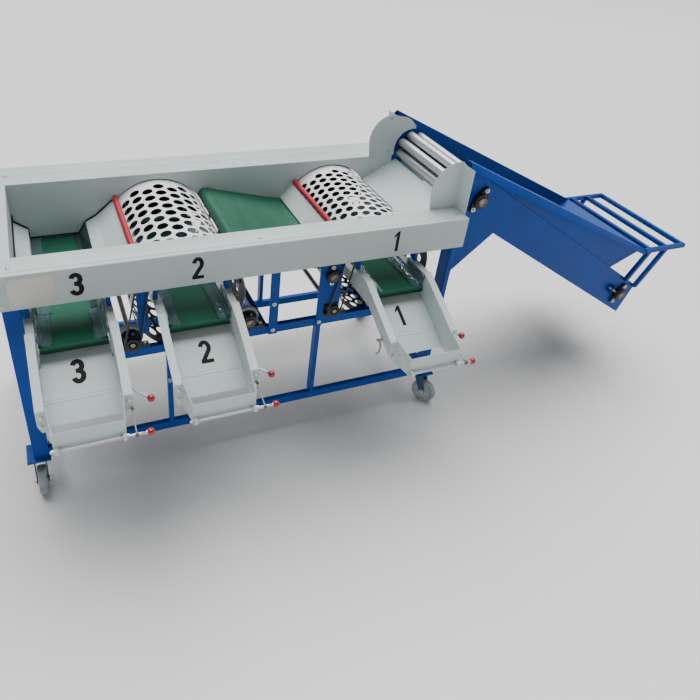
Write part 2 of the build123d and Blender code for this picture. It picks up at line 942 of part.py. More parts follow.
gearbox_y0 = frame_back + plate + gearbox_gap
drive_end = gearbox_y0 + gearbox_y
for side, x in support_x.items():
    at = (x, support_z)
    driven = side in ("1l", "2l")
    with BuildPart() as trunnion:
        shaft_0 = (chain_front if driven else frame_front) - shaft_proud
        shaft_1 = drive_end if driven else frame_back + shaft_proud
        disc_y(at, support_shaft, shaft_0, shaft_1)
        for y0, y1 in support_wheels_y:
            disc_y(at, support_radius, y0, y1)
        if driven:
            disc_y(at, sprocket_big, chain_front, chain_front + chain_width)
        if side == "1l":
            disc_y(at, sprocket_big, *chain_back)
    save(trunnion, f"trunnion_shaft_{side}")


# Ejector rollers

for number, at in enumerate(ejector_at, 1):
    with BuildPart() as ejector:
        disc_y(at, ejector_radius, wall_front + ejector_end_gap, wall_back - ejector_end_gap)
        disc_y(at, ejector_shaft, chain_front - shaft_proud, walls_y[1][1] + ejector_tail)
        disc_y(at, sprocket_small, chain_front, chain_front + chain_width)
    save(ejector, f"ejector_roller_{number}")


# Lift belt and its rollers

with BuildPart() as lift_belt_loop:
    belt_y = (lift_y[0] + lift_belt_edge, lift_y[1] - lift_belt_edge)
    loop_y(lift_low, lift_high, lift_outer, lift_outer, *belt_y)
    loop_y(lift_low, lift_high, lift_inner, lift_inner, *belt_y, Mode.SUBTRACT)
save(lift_belt_loop, "lift_belt")

low_over = lift_flange_t + shaft_proud
high_over = high_housing_t + shaft_proud
with BuildPart() as lift_roller_low:
    disc_y(lift_low, lift_radius, *lift_y)
    disc_y(lift_low, lift_shaft, plates_y[0][0] - low_over, plates_y[1][1] + low_over)
    disc_y(lift_low, sprocket_big, *chain_back)
save(lift_roller_low, "lift_roller_low")

with BuildPart() as lift_roller_high:
    disc_y(lift_high, lift_radius, *lift_y)
    disc_y(lift_high, lift_shaft, walls_y[0][0] - high_over, walls_y[1][1] + high_over)
save(lift_roller_high, "lift_roller_high")


# Bearing housings: pillow blocks, flange bearings and the take-ups of the elevator tail

def outside(pair, thickness):
    """Front and back Y ranges of pieces that sit on the outer faces of a front and back pair."""
    return ((pair[0][0] - thickness, pair[0][0]), (pair[1][-1], pair[1][-1] + thickness))


def flange_bearing(at, lean, half, ends, body, bore, y0, y1):
    """Two-bolt oval housing, its long way leaning from the vertical toward +X."""
    dx = half * sin(radians(lean))
    dz = half * cos(radians(lean))
    foot = y0 + (y1 - y0) * (flange_foot_share if y0 > 0 else 1 - flange_foot_share)
    foot_y = (y0, foot) if y0 > 0 else (foot, y1)
    with BuildSketch(Plane.XZ.offset(-foot_y[0])) as oval:
        with Locations((at[0] + dx, at[1] + dz), (at[0] - dx, at[1] - dz)):
            Circle(ends)
        with Locations(at):
            Circle(body)
        make_hull()
    extrude(oval.sketch, amount=-(foot_y[1] - foot_y[0]))
    disc_y(at, body, y0, y1)
    disc_y(at, bore, y0, y1, Mode.SUBTRACT)


with BuildPart() as bearing_housings:
    for x in support_x.values():
        for y0, y1 in rails_y:
            half = pillow_length / 2
            block(x - half, x + half, y0, y1, mid_rail_top, mid_rail_top + pillow_foot)
            disc_y((x, support_z), pillow_dome, y0, y1)
            disc_y((x, support_z), support_shaft + bore_gap, y0, y1, Mode.SUBTRACT)
    for y0, y1 in outside(plates_y, lift_flange_t):
        flange_bearing(
            lift_low, 0, lift_flange_half, lift_flange_end, lift_flange_r, lift_shaft + bore_gap, y0, y1
        )
    for y0, y1 in outside(walls_y, high_housing_t):
        disc_y(lift_high, high_housing_r, y0, y1)
        disc_y(lift_high, lift_shaft + bore_gap, y0, y1, Mode.SUBTRACT)
    for at in ((head_x, head_z), (tail_x, tail_z)):
        for y0, y1 in outside(((side_out[0],), (side_out[1],)), flange_bearing_t):
            flange_bearing(
                at,
                elevator_slope,
                flange_bearing_half,
                flange_bearing_end,
                flange_bearing_r,
                head_shaft + bore_gap,
                y0,
                y1,
            )
save(bearing_housings, "bearing_housings")


# Discharge belts, nose rollers and the drive shaft

with BuildPart() as discharge_belts:
    for x in belts_x:
        half = belt_width / 2
        ends = ((nose_y, nose_z), (tail_y, pulley_z))
        loop_x(*ends, nose_outer, pulley_outer, x - half, x + half)
        loop_x(*ends, nose_inner, pulley_inner, x - half, x + half, Mode.SUBTRACT)
save(discharge_belts, "discharge_belts")

for number, x in enumerate(belts_x, 1):
    with BuildPart() as nose_roller:
        disc_x((nose_y, nose_z), nose_radius, x - pulley_half, x + pulley_half)
        disc_x((nose_y, nose_z), nose_axle, x - web_out + run_gap, x + web_out - run_gap)
    save(nose_roller, f"nose_roller_{number}")

with BuildPart() as discharge_drive_shaft:
    shaft_end = web_out + drive_over
    disc_x((tail_y, pulley_z), drive_shaft, min(belts_x) - shaft_end, max(belts_x) + shaft_end)
    for x in belts_x:
        disc_x((tail_y, pulley_z), pulley_radius, x - pulley_half, x + pulley_half)
save(discharge_drive_shaft, "discharge_drive_shaft")


# Side frames of the discharge belts with the beds under the belts

bed_top = belt_top - belt_thick - run_gap
with BuildPart() as conveyor_frames:
    for x in belts_x:
        for side in (-1, 1):
            inner = x + side * web_in
            outer = x + side * web_out
            lip = outer + side * web_flange
            with BuildSketch(Plane.YZ.offset(min(inner, outer))) as web_face:
                Polygon(
                    (web_front, web_bottom),
                    (web_back, web_bottom),
                    (web_back, web_top_inside),
                    (web_step, web_top_inside),
                    (web_step, web_top),
                    (web_front, web_top),
                    align=None,
                )
                corners = web_face.vertices().filter_by_position(Axis.X, web_front - 1, web_front + 1)
                fillet(corners, web_round)
            extrude(web_face.sketch, amount=web)
            lip_x = (min(inner, lip), max(inner, lip))
            block(*lip_x, chute_y + tray_gap, web_step, web_top - web, web_top)
            block(*lip_x, web_step, web_back, web_top_inside - web, web_top_inside)
            web_x = (min(inner, outer), max(inner, outer))
            disc_x((nose_y, nose_z), nose_axle + bore_gap, *web_x, Mode.SUBTRACT)
            disc_x((tail_y, pulley_z), drive_shaft + bore_gap, *web_x, Mode.SUBTRACT)
        bed_y = (nose_y + bed_end_gap, tail_y - bed_end_gap)
        block(x - web_in, x + web_in, *bed_y, bed_top - bed_sheet, bed_top)
save(conveyor_frames, "conveyor_frames")


# Clear skirts that lean inward over the belts in front of the trough

with BuildPart() as belt_skirts:
    skirt_low = belt_top + skirt_lift
    for x in belts_x:
        for side in (-1, 1):
            edge = x + side * web_in
            foot = edge - side * skirt_lean
            inside = edge - side * skirt
            line = [(edge, web_top), (foot, skirt_low), (foot, skirt_low + skirt), (inside, web_top)]
            slab_xz(line, web_front + web_round, web_step)
save(belt_skirts, "belt_skirts")


# Chute trays

tray_wall = chute_depth + chute_keel
with BuildPart() as chute_trays:
    for x in belts_x:
        for side in (-1, 1):
            inner = x + side * web_out
            outer = inner + side * chute_wall
            lip = inner + side * chute_flange
            slab_yz(
                [
                    chute(0, 0),
                    chute(chute_length, 0),
                    chute(chute_length, tray_wall),
                    (chute_y, chute(0, 0)[1] - tray_wall / cos(radians(chute_slope))),
                ],
                min(inner, outer),
                max(inner, outer),
            )
            slab_yz(
                [
                    chute(0, 0),
                    chute(chute_length, 0),
                    chute(chute_length, chute_wall),
                    chute(0, chute_wall),
                ],
                min(inner, lip),
                max(inner, lip),
            )
            wall_x = (min(inner, outer), max(inner, outer))
            disc_x((flap_y, flap_z), flap_rod + bore_gap, *wall_x, Mode.SUBTRACT)
        slab_yz(
            [
                chute(chute_floor_start, chute_depth),
                chute(chute_floor_end, chute_depth),
                chute(chute_floor_end, chute_depth + chute_wall),
                chute(chute_floor_start, chute_depth + chute_wall),
            ],
            x - web_out,
            x + web_out,
        )
        slab_yz(
            [
                chute(chute_tongue_start, chute_depth),
                chute(chute_floor_start, chute_depth),
                chute(chute_floor_start, chute_depth + chute_wall),
                chute(chute_tongue_start, chute_depth + chute_wall),
            ],
            x - web_in + tray_gap,
            x + web_in - tray_gap,
        )
save(chute_trays, "chute_trays")


# Lower boxes bolted inside the trays, narrower at the front, each with the eyes of its bag clamp

box_heel = chute(chute_length + box_heel_out, chute_depth + box_heel_low)
box_toe = chute(chute_length - box_toe_in, chute_depth - box_toe_up)
heel_share = (box_heel[0] - box_top_y) / (box_heel[0] - box_end_y)
box_bend_z = box_heel[1] + heel_share * (box_low_z - box_heel[1])
taper_run = hypot(box_reach, box_taper) + box_wall / 2
box_half = web_out - box_taper
with BuildPart() as chute_boxes:
    for x in belts_x:
        for side in (-1, 1):
            outer = x + side * web_out
            inner = outer - side * box_wall
            slab_yz(
                [
                    chute(chute_length - box_lap, 0),
                    (box_top_y, box_top_z),
                    (box_top_y, box_bend_z),
                    box_heel,
                    box_toe,
                ],
                min(inner, outer),
                max(inner, outer),
            )
            taper = Plane(
                origin=(outer, box_top_y, 0),
                x_dir=(-side * box_taper, -box_reach, 0),
                z_dir=(-box_reach, side * box_taper, 0),
            )
            with BuildSketch(taper) as taper_face:
                Polygon(
                    (0, box_top_z),
                    (taper_run, box_end_z),
                    (taper_run, box_low_z),
                    (0, box_bend_z),
                    align=None,
                )
            extrude(taper_face.sketch, amount=side * box_wall)
            tab_root = x + side * (web_out - box_taper * (box_top_y - tab_y) / box_reach - box_wall / 2)
            tab_out = x + side * (web_out + chute_flange)
            slab_xz(
                [
                    (tab_root, tab_z),
                    (tab_out, tab_z),
                    (tab_out, tab_z - tab_height + tab_cut_up),
                    (tab_out - side * tab_cut_in, tab_z - tab_height),
                    (tab_root, tab_z - tab_height),
                ],
                tab_y - box_wall,
                tab_y,
            )
            eye = x + side * clamp_eye_x
            half = clamp_eye_width / 2
            eye_y = (clamp_y - clamp_eye, box_end_y - box_wall / 2)
            block(eye - half, eye + half, *eye_y, clamp_z - clamp_eye, clamp_z + clamp_eye)
        block(x - box_half, x + box_half, box_end_y - box_wall, box_end_y, box_low_z, box_end_z)
        disc_x((clamp_y, clamp_z), clamp_rod + bore_gap, x - web_out, x + web_out, Mode.SUBTRACT)
save(chute_boxes, "chute_boxes")


# Shut-off flaps with lever and knob, and bag clamps with knob

a = radians(chute_slope)
lean = radians(clamp_crank_angle)
for number, x in enumerate(belts_x, 1):
    lever_at = (x + web_out + lever_x, flap_y, flap_z)
    knob_at = (lever_at[0] + knob_out, flap_y - knob_forward, flap_z - knob_drop)
    lever_end = toward(knob_at, lever_at, knob_seat)
    with BuildPart() as chute_flap:
        reach = flap_length * cos(a)
        fall = flap_length * sin(a)
        half = web_out - flap_edge
        flap_top = flap_z + flap_rod - flap_seat
        slab_yz(
            [
                (flap_y, flap_top),
                (flap_y - reach, flap_top - fall),
                (flap_y - reach, flap_top - fall - flap_plate),
                (flap_y, flap_top - flap_plate),
            ],
            x - half,
            x + half,
        )
        disc_x((flap_y, flap_z), flap_rod, x - web_out - chute_wall - rod_over, lever_at[0])
        ball(lever_at, flap_rod)
        rod(lever_at, lever_end, flap_rod)
    save(chute_flap, f"chute_flap_{number}")

    with BuildPart() as flap_knob:
        ball(knob_at, knob_radius)
        rod(lever_end, lever_at, flap_rod + bore_gap, Mode.SUBTRACT)
    save(flap_knob, f"flap_knob_{number}")

    bend = (x + web_out + clamp_out, clamp_y, clamp_z)
    elbow = (bend[0], clamp_y + clamp_crank * cos(lean), clamp_z - clamp_crank * sin(lean))
    grip = (x + web_out + clamp_knob_x, elbow[1], elbow[2])
    pin_end = toward(grip, elbow, knob_seat)
    with BuildPart() as bag_clamp:
        rod((x - web_out, clamp_y, clamp_z), bend, clamp_rod)
        ball(bend, clamp_rod)
        rod(bend, elbow, clamp_rod)
        ball(elbow, clamp_rod)
        rod(elbow, pin_end, clamp_rod)
    save(bag_clamp, f"bag_clamp_{number}")

    with BuildPart() as clamp_knob:
        ball(grip, knob_radius)
        rod(pin_end, elbow, clamp_rod + bore_gap, Mode.SUBTRACT)
    save(clamp_knob, f"clamp_knob_{number}")


# Side plates of the feed elevator, bolted to the feed legs

slope_sin = sin(radians(elevator_slope))
slope_cos = cos(radians(elevator_slope))
plate_outline = [
    (feed_x, head_z + (elevator_up + head_out * slope_sin) / slope_cos),
    slope(elevator_length + tail_top_over, elevator_up),
    slope(elevator_length + tail_low_over, -elevator_down),
    slope(knee_u, -elevator_down),
    (feed_x, elevator_foot),
]
with BuildPart() as elevator_plates:
    for inner, outer in zip(side_in, side_out):
        plate_y = (min(inner, outer), max(inner, outer))
        slab_xz(plate_outline, *plate_y)
        disc_y((head_x, head_z), head_shaft + pass_gap, *plate_y, Mode.SUBTRACT)
        loop_y(
            slope(elevator_length - takeup_slot / 2, 0),
            slope(elevator_length + takeup_slot / 2, 0),
            head_shaft + pass_gap,
            head_shaft + pass_gap,
            *plate_y,
            Mode.SUBTRACT,
        )
    flange_top = rim_under - mount_flange_drop
    for y0, y1 in ((side_out[0] - mount_flange, side_in[0]), (side_in[1], side_out[1] + mount_flange)):
        block(feed_x, feed_x + mount_flange_t, y0, y1, elevator_foot, flange_top)
save(elevator_plates, "elevator_plates")


# Hopper walls on the elevator, with outward lips, and the tray plate at the tail

hopper_head = slope(hopper_head_u, hopper_head_v)
with BuildPart() as hopper_walls:
    for inner, side in zip(side_in, (-1, 1)):
        wall = inner - side * hopper_sheet
        y0, y1 = min(inner, wall), max(inner, wall)
        slab_xz(
            [
                hopper_head,
                hopper_tail,
                hopper_foot,
                slope(hopper_foot_u - hopper_lap, elevator_up - hopper_lap),
                slope(hopper_head_u + hopper_lap, elevator_up - hopper_lap),
            ],
            y0,
            y1,
        )
        edge = inner + side * hopper_lip
        lip = strip([hopper_head, hopper_tail], hopper_sheet)
        slab_xz(lip, min(wall, edge), max(wall, edge))
        hem = edge - side * hopper_sheet
        slab_xz(strip([hopper_head, hopper_tail], hopper_hem), min(hem, edge), max(hem, edge))
    slab_xz(strip([hopper_foot, hopper_tail], hopper_sheet), side_in[0], side_in[1])
save(hopper_walls, "hopper_walls")


# Sack rack of square tube behind the hopper

rack_top = hopper_tail[1] - rack_drop + rack_tube / 2
rack_x = [hopper_tail[0] + rack_first + i * rack_step for i in range(3)]
rack_y = ((side_out[0] - rack_tube, side_out[0]), (side_out[1], side_out[1] + rack_tube))
brace_feet = (
    slope(elevator_length - brace_back, elevator_up - rack_tube / 2),
    slope(elevator_length + tail_top_over - rack_tube / 2, elevator_up - rack_tube / 2),
)
with BuildPart() as sack_rack:
    for y0, y1 in rack_y:
        block(hopper_tail[0] + rack_start, rack_x[2] + rack_tube / 2, y0, y1, rack_top - rack_tube, rack_top)
        for x, foot in zip(rack_x, brace_feet):
            half = rack_tube / 2
            slab_xz(
                [
                    (x - half, rack_top - half),
                    (foot[0] - half, foot[1]),
                    (foot[0] + half, foot[1]),
                    (x + half, rack_top - half),
                ],
                y0,
                y1,
            )
    for x in rack_x:
        half = rack_tube / 2
        block(x - half, x + half, rack_y[0][0], rack_y[1][1], rack_top - rack_tube, rack_top)
save(sack_rack, "sack_rack")


# Elevator shafts with sprockets, and the roller chain round them

band_in = roller_pitch_radius - chain_band / 2
band_out = roller_pitch_radius + chain_band / 2
shaft_ends = (side_out[0] - flange_bearing_t - head_over, side_out[1] + flange_bearing_t + head_over)
head_drive_end = shaft_ends[1] + gearbox_y
for name, at, far in (
    ("elevator_head_shaft", (head_x, head_z), head_drive_end),
    ("elevator_tail_shaft", (tail_x, tail_z), shaft_ends[1]),
):
    with BuildPart() as elevator_shaft:
        disc_y(at, head_shaft, shaft_ends[0], far)
        for y0, y1 in chain_bands_y:
            disc_y(at, band_in - run_gap, y0, y1)
    save(elevator_shaft, name)


def chain_path(distance):
    """Point in XZ on the roller chain's pitch line, from the head's top and down the upper run first."""
    turn = pi * roller_pitch_radius
    distance = distance % (2 * elevator_length + 2 * turn)
    if distance < elevator_length:
        return slope(distance, roller_pitch_radius)
    distance -= elevator_length
    if distance < turn:
        angle = distance / roller_pitch_radius
        return slope(elevator_length + roller_pitch_radius * sin(angle), roller_pitch_radius * cos(angle))
    distance -= turn
    if distance < elevator_length:
        return slope(elevator_length - distance, -roller_pitch_radius)
    angle = (distance - elevator_length) / roller_pitch_radius
    return slope(-roller_pitch_radius * sin(angle), -roller_pitch_radius * cos(angle))


chain_length = 2 * elevator_length + 2 * pi * roller_pitch_radius
roller_spots = [chain_path(i * chain_length / roller_count) for i in range(roller_count)]
vent_off = (roller_radius - roller_wall + roller_pin) / 2
vent_spots = [(x, z + vent_off) for x, z in roller_spots]


def discs_y(spots, radius, y0, y1, mode=Mode.ADD):
    with BuildSketch(Plane.XZ.offset(-y0)) as face:
        with Locations(*spots):
            Circle(radius)
    extrude(face.sketch, amount=-(y1 - y0), mode=mode)


with BuildPart() as roller_chain:
    discs_y(roller_spots, roller_radius, *rollers_y)
    hollow_y = (rollers_y[0] + roller_plug, rollers_y[1] - roller_plug)
    discs_y(roller_spots, roller_radius - roller_wall, *hollow_y, Mode.SUBTRACT)
    discs_y(vent_spots, roller_vent, hollow_y[1], rollers_y[1], Mode.SUBTRACT)
    for (band_0, band_1), (y0, y1) in zip(
        chain_bands_y,
        ((chain_bands_y[0][0], rollers_y[0]), (rollers_y[1], chain_bands_y[1][1])),
    ):
        loop_y((head_x, head_z), (tail_x, tail_z), band_out, band_out, band_0, band_1)
        loop_y((head_x, head_z), (tail_x, tail_z), band_in, band_in, band_0, band_1, Mode.SUBTRACT)
        discs_y(roller_spots, roller_pin + bore_gap, band_0, band_1, Mode.SUBTRACT)
        discs_y(roller_spots, roller_pin, y0, y1)
save(roller_chain, "roller_chain")


# Gear motors behind the machine

with BuildPart() as gear_motors:
    for side in ("1l", "2l"):
        x = support_x[side]
        block(
            x - gearbox_half,
            x + gearbox_half,
            gearbox_y0,
            drive_end,
            support_z - gearbox_half,
            support_z + gearbox_rise,
        )
        disc_y((x, support_z), support_shaft + bore_gap, gearbox_y0, drive_end, Mode.SUBTRACT)
        motor_at = ((gearbox_y0 + drive_end) / 2, support_z + motor_rise)
        disc_x(motor_at, motor_radius, x + gearbox_half, x + gearbox_half + motor_length)
    x = belt_gearbox_x
    block(
        x - belt_gearbox_half,
        x + belt_gearbox_half,
        tail_y - belt_gearbox_deep,
        tail_y + belt_gearbox_deep,
        pulley_z - belt_gearbox_deep,
        pulley_z + belt_gearbox_deep,
    )
    disc_x(
        (tail_y, pulley_z),
        drive_shaft + bore_gap,
        x - belt_gearbox_half,
        x + belt_gearbox_half,
        Mode.SUBTRACT,
    )
    motor_top = top_rail - belt_motor_hang
    disc_z((x, tail_y), belt_motor_radius, pulley_z + belt_gearbox_deep, motor_top)
    hanger_y = (tail_y + belt_hanger_edge, frame_back - belt_hanger_edge)
    block(x - belt_hanger_half, x + belt_hanger_half, *hanger_y, motor_top, top_rail)
    head_y0 = side_out[1] + flange_bearing_t
    block(
        head_x - gearbox_half,
        head_x + gearbox_half,
        head_y0,
        head_y0 + gearbox_y,
        head_z - gearbox_half,
        head_z + gearbox_half,
    )
    disc_y((head_x, head_z), head_shaft + bore_gap, head_y0, head_y0 + gearbox_y, Mode.SUBTRACT)
    disc_x(
        (head_y0 + gearbox_y / 2, head_z - head_motor_drop),
        motor_radius,
        head_x + gearbox_half,
        head_x + gearbox_half + motor_length,
    )
save(gear_motors, "gear_motors")


# Drive chains from the driven support shafts

def chain_loop(first, second, radius_1, radius_2, y0, y1):
    gap = run_gap
    loop_y(first, second, radius_1 + gap + chain_height, radius_2 + gap + chain_height, y0, y1)
    loop_y(first, second, radius_1 + gap, radius_2 + gap, y0, y1, Mode.SUBTRACT)


with BuildPart() as drive_chains:
    first = (support_x["1l"], support_z)
    second = (support_x["2l"], support_z)
    chain_y = (chain_front, chain_front + chain_width)
    chain_loop(first, ejector_at[0], sprocket_big, sprocket_small, *chain_y)
    chain_loop(second, ejector_at[1], sprocket_big, sprocket_small, *chain_y)
    chain_loop(first, lift_low, sprocket_big, sprocket_big, *chain_back)
save(drive_chains, "drive_chains")


# Screws of the rims and bolts of the chutes and plates

rim_screw_x = (end_x + rim_screw_in, middle_screw_x, feed_x - feed_screw_in)
with BuildPart() as fasteners:
    for x in rim_screw_x:
        for y in (front_y + rim_screw_in, back_y - back_screw_in):
            disc_z((x, y), screw_radius, rim_height, rim_height + screw_height)
    for x in belts_x:
        for side in (-1, 1):
            bolt_x = x + side * (web_out + chute_flange / 2)
            for low in tab_bolts_low:
                disc_y((bolt_x, tab_z - low), bolt_radius, tab_y - box_wall - bolt_height, tab_y - box_wall)
    for x in (bar_x, plate_left + plate_bolt_in):
        for z in (top_rail + rail_height / 2, mid_rail + rail_height / 2):
            disc_y((x, z), bolt_radius, plates_y[0][0] - bolt_height, plates_y[0][0])
    flange_x = feed_x + mount_flange_t
    for z in (elevator_foot + mount_bolt_rise, head_z - mount_bolt_drop):
        for y in (side_out[0] - mount_flange / 2, side_out[1] + mount_flange / 2):
            disc_x((y, z), bolt_radius, flange_x, flange_x + bolt_height)
save(fasteners, "fasteners")
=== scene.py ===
import json
from math import acos, atan2, cos, hypot, pi, radians, sin

import bmesh
import bpy
from mathutils import Matrix, Vector


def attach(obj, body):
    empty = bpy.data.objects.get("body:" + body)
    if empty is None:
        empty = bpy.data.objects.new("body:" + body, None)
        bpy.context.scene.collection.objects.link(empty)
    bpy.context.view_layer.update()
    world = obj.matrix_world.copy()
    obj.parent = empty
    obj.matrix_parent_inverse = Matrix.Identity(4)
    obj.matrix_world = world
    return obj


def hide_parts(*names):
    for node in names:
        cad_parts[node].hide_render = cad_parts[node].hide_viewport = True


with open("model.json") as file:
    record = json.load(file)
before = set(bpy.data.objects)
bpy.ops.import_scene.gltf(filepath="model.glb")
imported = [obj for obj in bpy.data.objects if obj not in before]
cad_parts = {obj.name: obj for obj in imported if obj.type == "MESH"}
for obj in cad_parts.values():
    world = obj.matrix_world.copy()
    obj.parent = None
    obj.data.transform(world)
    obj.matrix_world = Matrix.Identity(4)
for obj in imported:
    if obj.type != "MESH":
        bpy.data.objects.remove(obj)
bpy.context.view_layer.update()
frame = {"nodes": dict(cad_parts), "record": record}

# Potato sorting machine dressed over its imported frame. Lengths below are in millimetres, in the
# frame's own axes: +X to the feed end, +Y to the back, +Z up.

nodes = frame["nodes"]
MM = 0.001
DUST_COLOUR = (0.30, 0.26, 0.20)
WORN_EDGE = 0.0022


# Materials

def surface(name, colour, rough, metal=0.0, vary=0.06, grain=9.0, stretch=(1, 1, 1), bump=0.05,
            bump_scale=400.0, worn=None, wear=0.5, dust=0.0, painted_shade=None, shade_span=(-0.06, -0.40), weave=0.0,
            interior_shade=None, **sockets):
    """Procedural surface: patchy colour and gloss, worn edges, dust above, painted shade that deepens as a
    face turns down, and a fine relief.

    A painted shade inside a drum's skin, given as (axis x, axis z, radius, colour), darkens the drum's inner
    face to near black.
    """
    mat = bpy.data.materials.new(name)
    mat.use_nodes = True
    tree = mat.node_tree
    new = tree.nodes.new
    join = tree.links.new
    bsdf = tree.nodes["Principled BSDF"]
    where = new("ShaderNodeTexCoord")
    scale = new("ShaderNodeMapping")
    scale.inputs["Scale"].default_value = stretch
    join(where.outputs["Object"], scale.inputs["Vector"])

    def noise(size, detail, source=scale):
        node = new("ShaderNodeTexNoise")
        node.inputs["Scale"].default_value = size
        node.inputs["Detail"].default_value = detail
        node.inputs["Roughness"].default_value = 0.62
        join(source.outputs["Vector" if source is scale else "Object"], node.inputs["Vector"])
        return node.outputs["Fac"]

    def remap(value, low, high, to_low=0.0, to_high=1.0):
        node = new("ShaderNodeMapRange")
        for key, number in (("From Min", low), ("From Max", high), ("To Min", to_low), ("To Max", to_high)):
            node.inputs[key].default_value = number
        join(value, node.inputs["Value"])
        return node.outputs["Result"]

    def times(a, b):
        node = new("ShaderNodeMath")
        node.operation = "MULTIPLY"
        join(a, node.inputs[0])
        join(b, node.inputs[1])
        return node.outputs["Value"]

    def mix(factor, under, over):
        node = new("ShaderNodeMix")
        node.data_type = "RGBA"
        join(factor, node.inputs[0])
        join(under, node.inputs[6])
        node.inputs[7].default_value = (*over, 1)
        return node.outputs[2]

    patches = noise(grain, 6.0)
    ramp = new("ShaderNodeValToRGB")
    ramp.color_ramp.elements[0].position = 0.30
    ramp.color_ramp.elements[0].color = (*[max(0.0, c * (1 - 1.6 * vary)) for c in colour], 1)
    ramp.color_ramp.elements[1].position = 0.68
    ramp.color_ramp.elements[1].color = (*[min(1.0, c * (1 + vary)) for c in colour], 1)
    join(patches, ramp.inputs["Fac"])
    paint = ramp.outputs["Color"]
    facing = new("ShaderNodeNewGeometry")
    split = new("ShaderNodeSeparateXYZ")
    join(facing.outputs["Normal"], split.inputs["Vector"])
    # Painted shade: the colour darkens towards the shade colour as the face's normal turns down through the
    # span
    if painted_shade:
        paint = mix(remap(split.outputs["Z"], *shade_span, 0, 0.85), paint, painted_shade)
    if dust:
        upward = remap(split.outputs["Z"], 0.35, 0.95)
        cover = times(upward, remap(noise(grain * 5, 8.0, where), 0.42, 0.70, 0, dust))
        paint = mix(cover, paint, DUST_COLOUR)
    if worn:
        bevel = new("ShaderNodeBevel")
        bevel.samples = 4
        bevel.inputs["Radius"].default_value = WORN_EDGE
        turn = new("ShaderNodeVectorMath")
        turn.operation = "DOT_PRODUCT"
        join(bevel.outputs["Normal"], turn.inputs[0])
        join(facing.outputs["Normal"], turn.inputs[1])
        edge = remap(turn.outputs["Value"], 0.995, 0.80)
        paint = mix(times(edge, remap(noise(70.0, 5.0, where), 0.40, 0.62, 0, wear)), paint, worn)
    # Painted shade: near black on every face nearer the drum's axis than its skin
    if interior_shade:
        axis_x, axis_z, radius, inside = interior_shade
        spot = new("ShaderNodeSeparateXYZ")
        join(where.outputs["Object"], spot.inputs["Vector"])
        flat = new("ShaderNodeCombineXYZ")
        join(spot.outputs["X"], flat.inputs["X"])
        join(spot.outputs["Z"], flat.inputs["Z"])
        away = new("ShaderNodeVectorMath")
        away.operation = "DISTANCE"
        away.inputs[1].default_value = (axis_x * MM, 0, axis_z * MM)
        join(flat.outputs["Vector"], away.inputs[0])
        paint = mix(remap(away.outputs["Value"], (radius - 0.4) * MM, (radius - 0.8) * MM), paint, inside)
    join(paint, bsdf.inputs["Base Color"])
    join(remap(patches, 0.2, 0.8, max(0.02, rough - 0.08), min(1.0, rough + 0.10)), bsdf.inputs["Roughness"])
    bsdf.inputs["Metallic"].default_value = metal
    relief = noise(bump_scale, 3.0)
    if weave:
        for axis in ("X", "Y"):
            wave = new("ShaderNodeTexWave")
            wave.bands_direction = axis
            wave.inputs["Scale"].default_value = weave
            join(where.outputs["Object"], wave.inputs["Vector"])
            blend = new("ShaderNodeMath")
            blend.operation = "ADD"
            join(relief, blend.inputs[0])
            join(wave.outputs["Fac"], blend.inputs[1])
            relief = blend.outputs["Value"]
    lift = new("ShaderNodeBump")
    lift.inputs["Strength"].default_value = bump
    lift.inputs["Distance"].default_value = 0.001
    join(relief, lift.inputs["Height"])
    if worn:
        join(bevel.outputs["Normal"], lift.inputs["Normal"])
    join(lift.outputs["Normal"], bsdf.inputs["Normal"])
    for key, value in sockets.items():
        bsdf.inputs[key.replace("_", " ")].default_value = value
    return mat


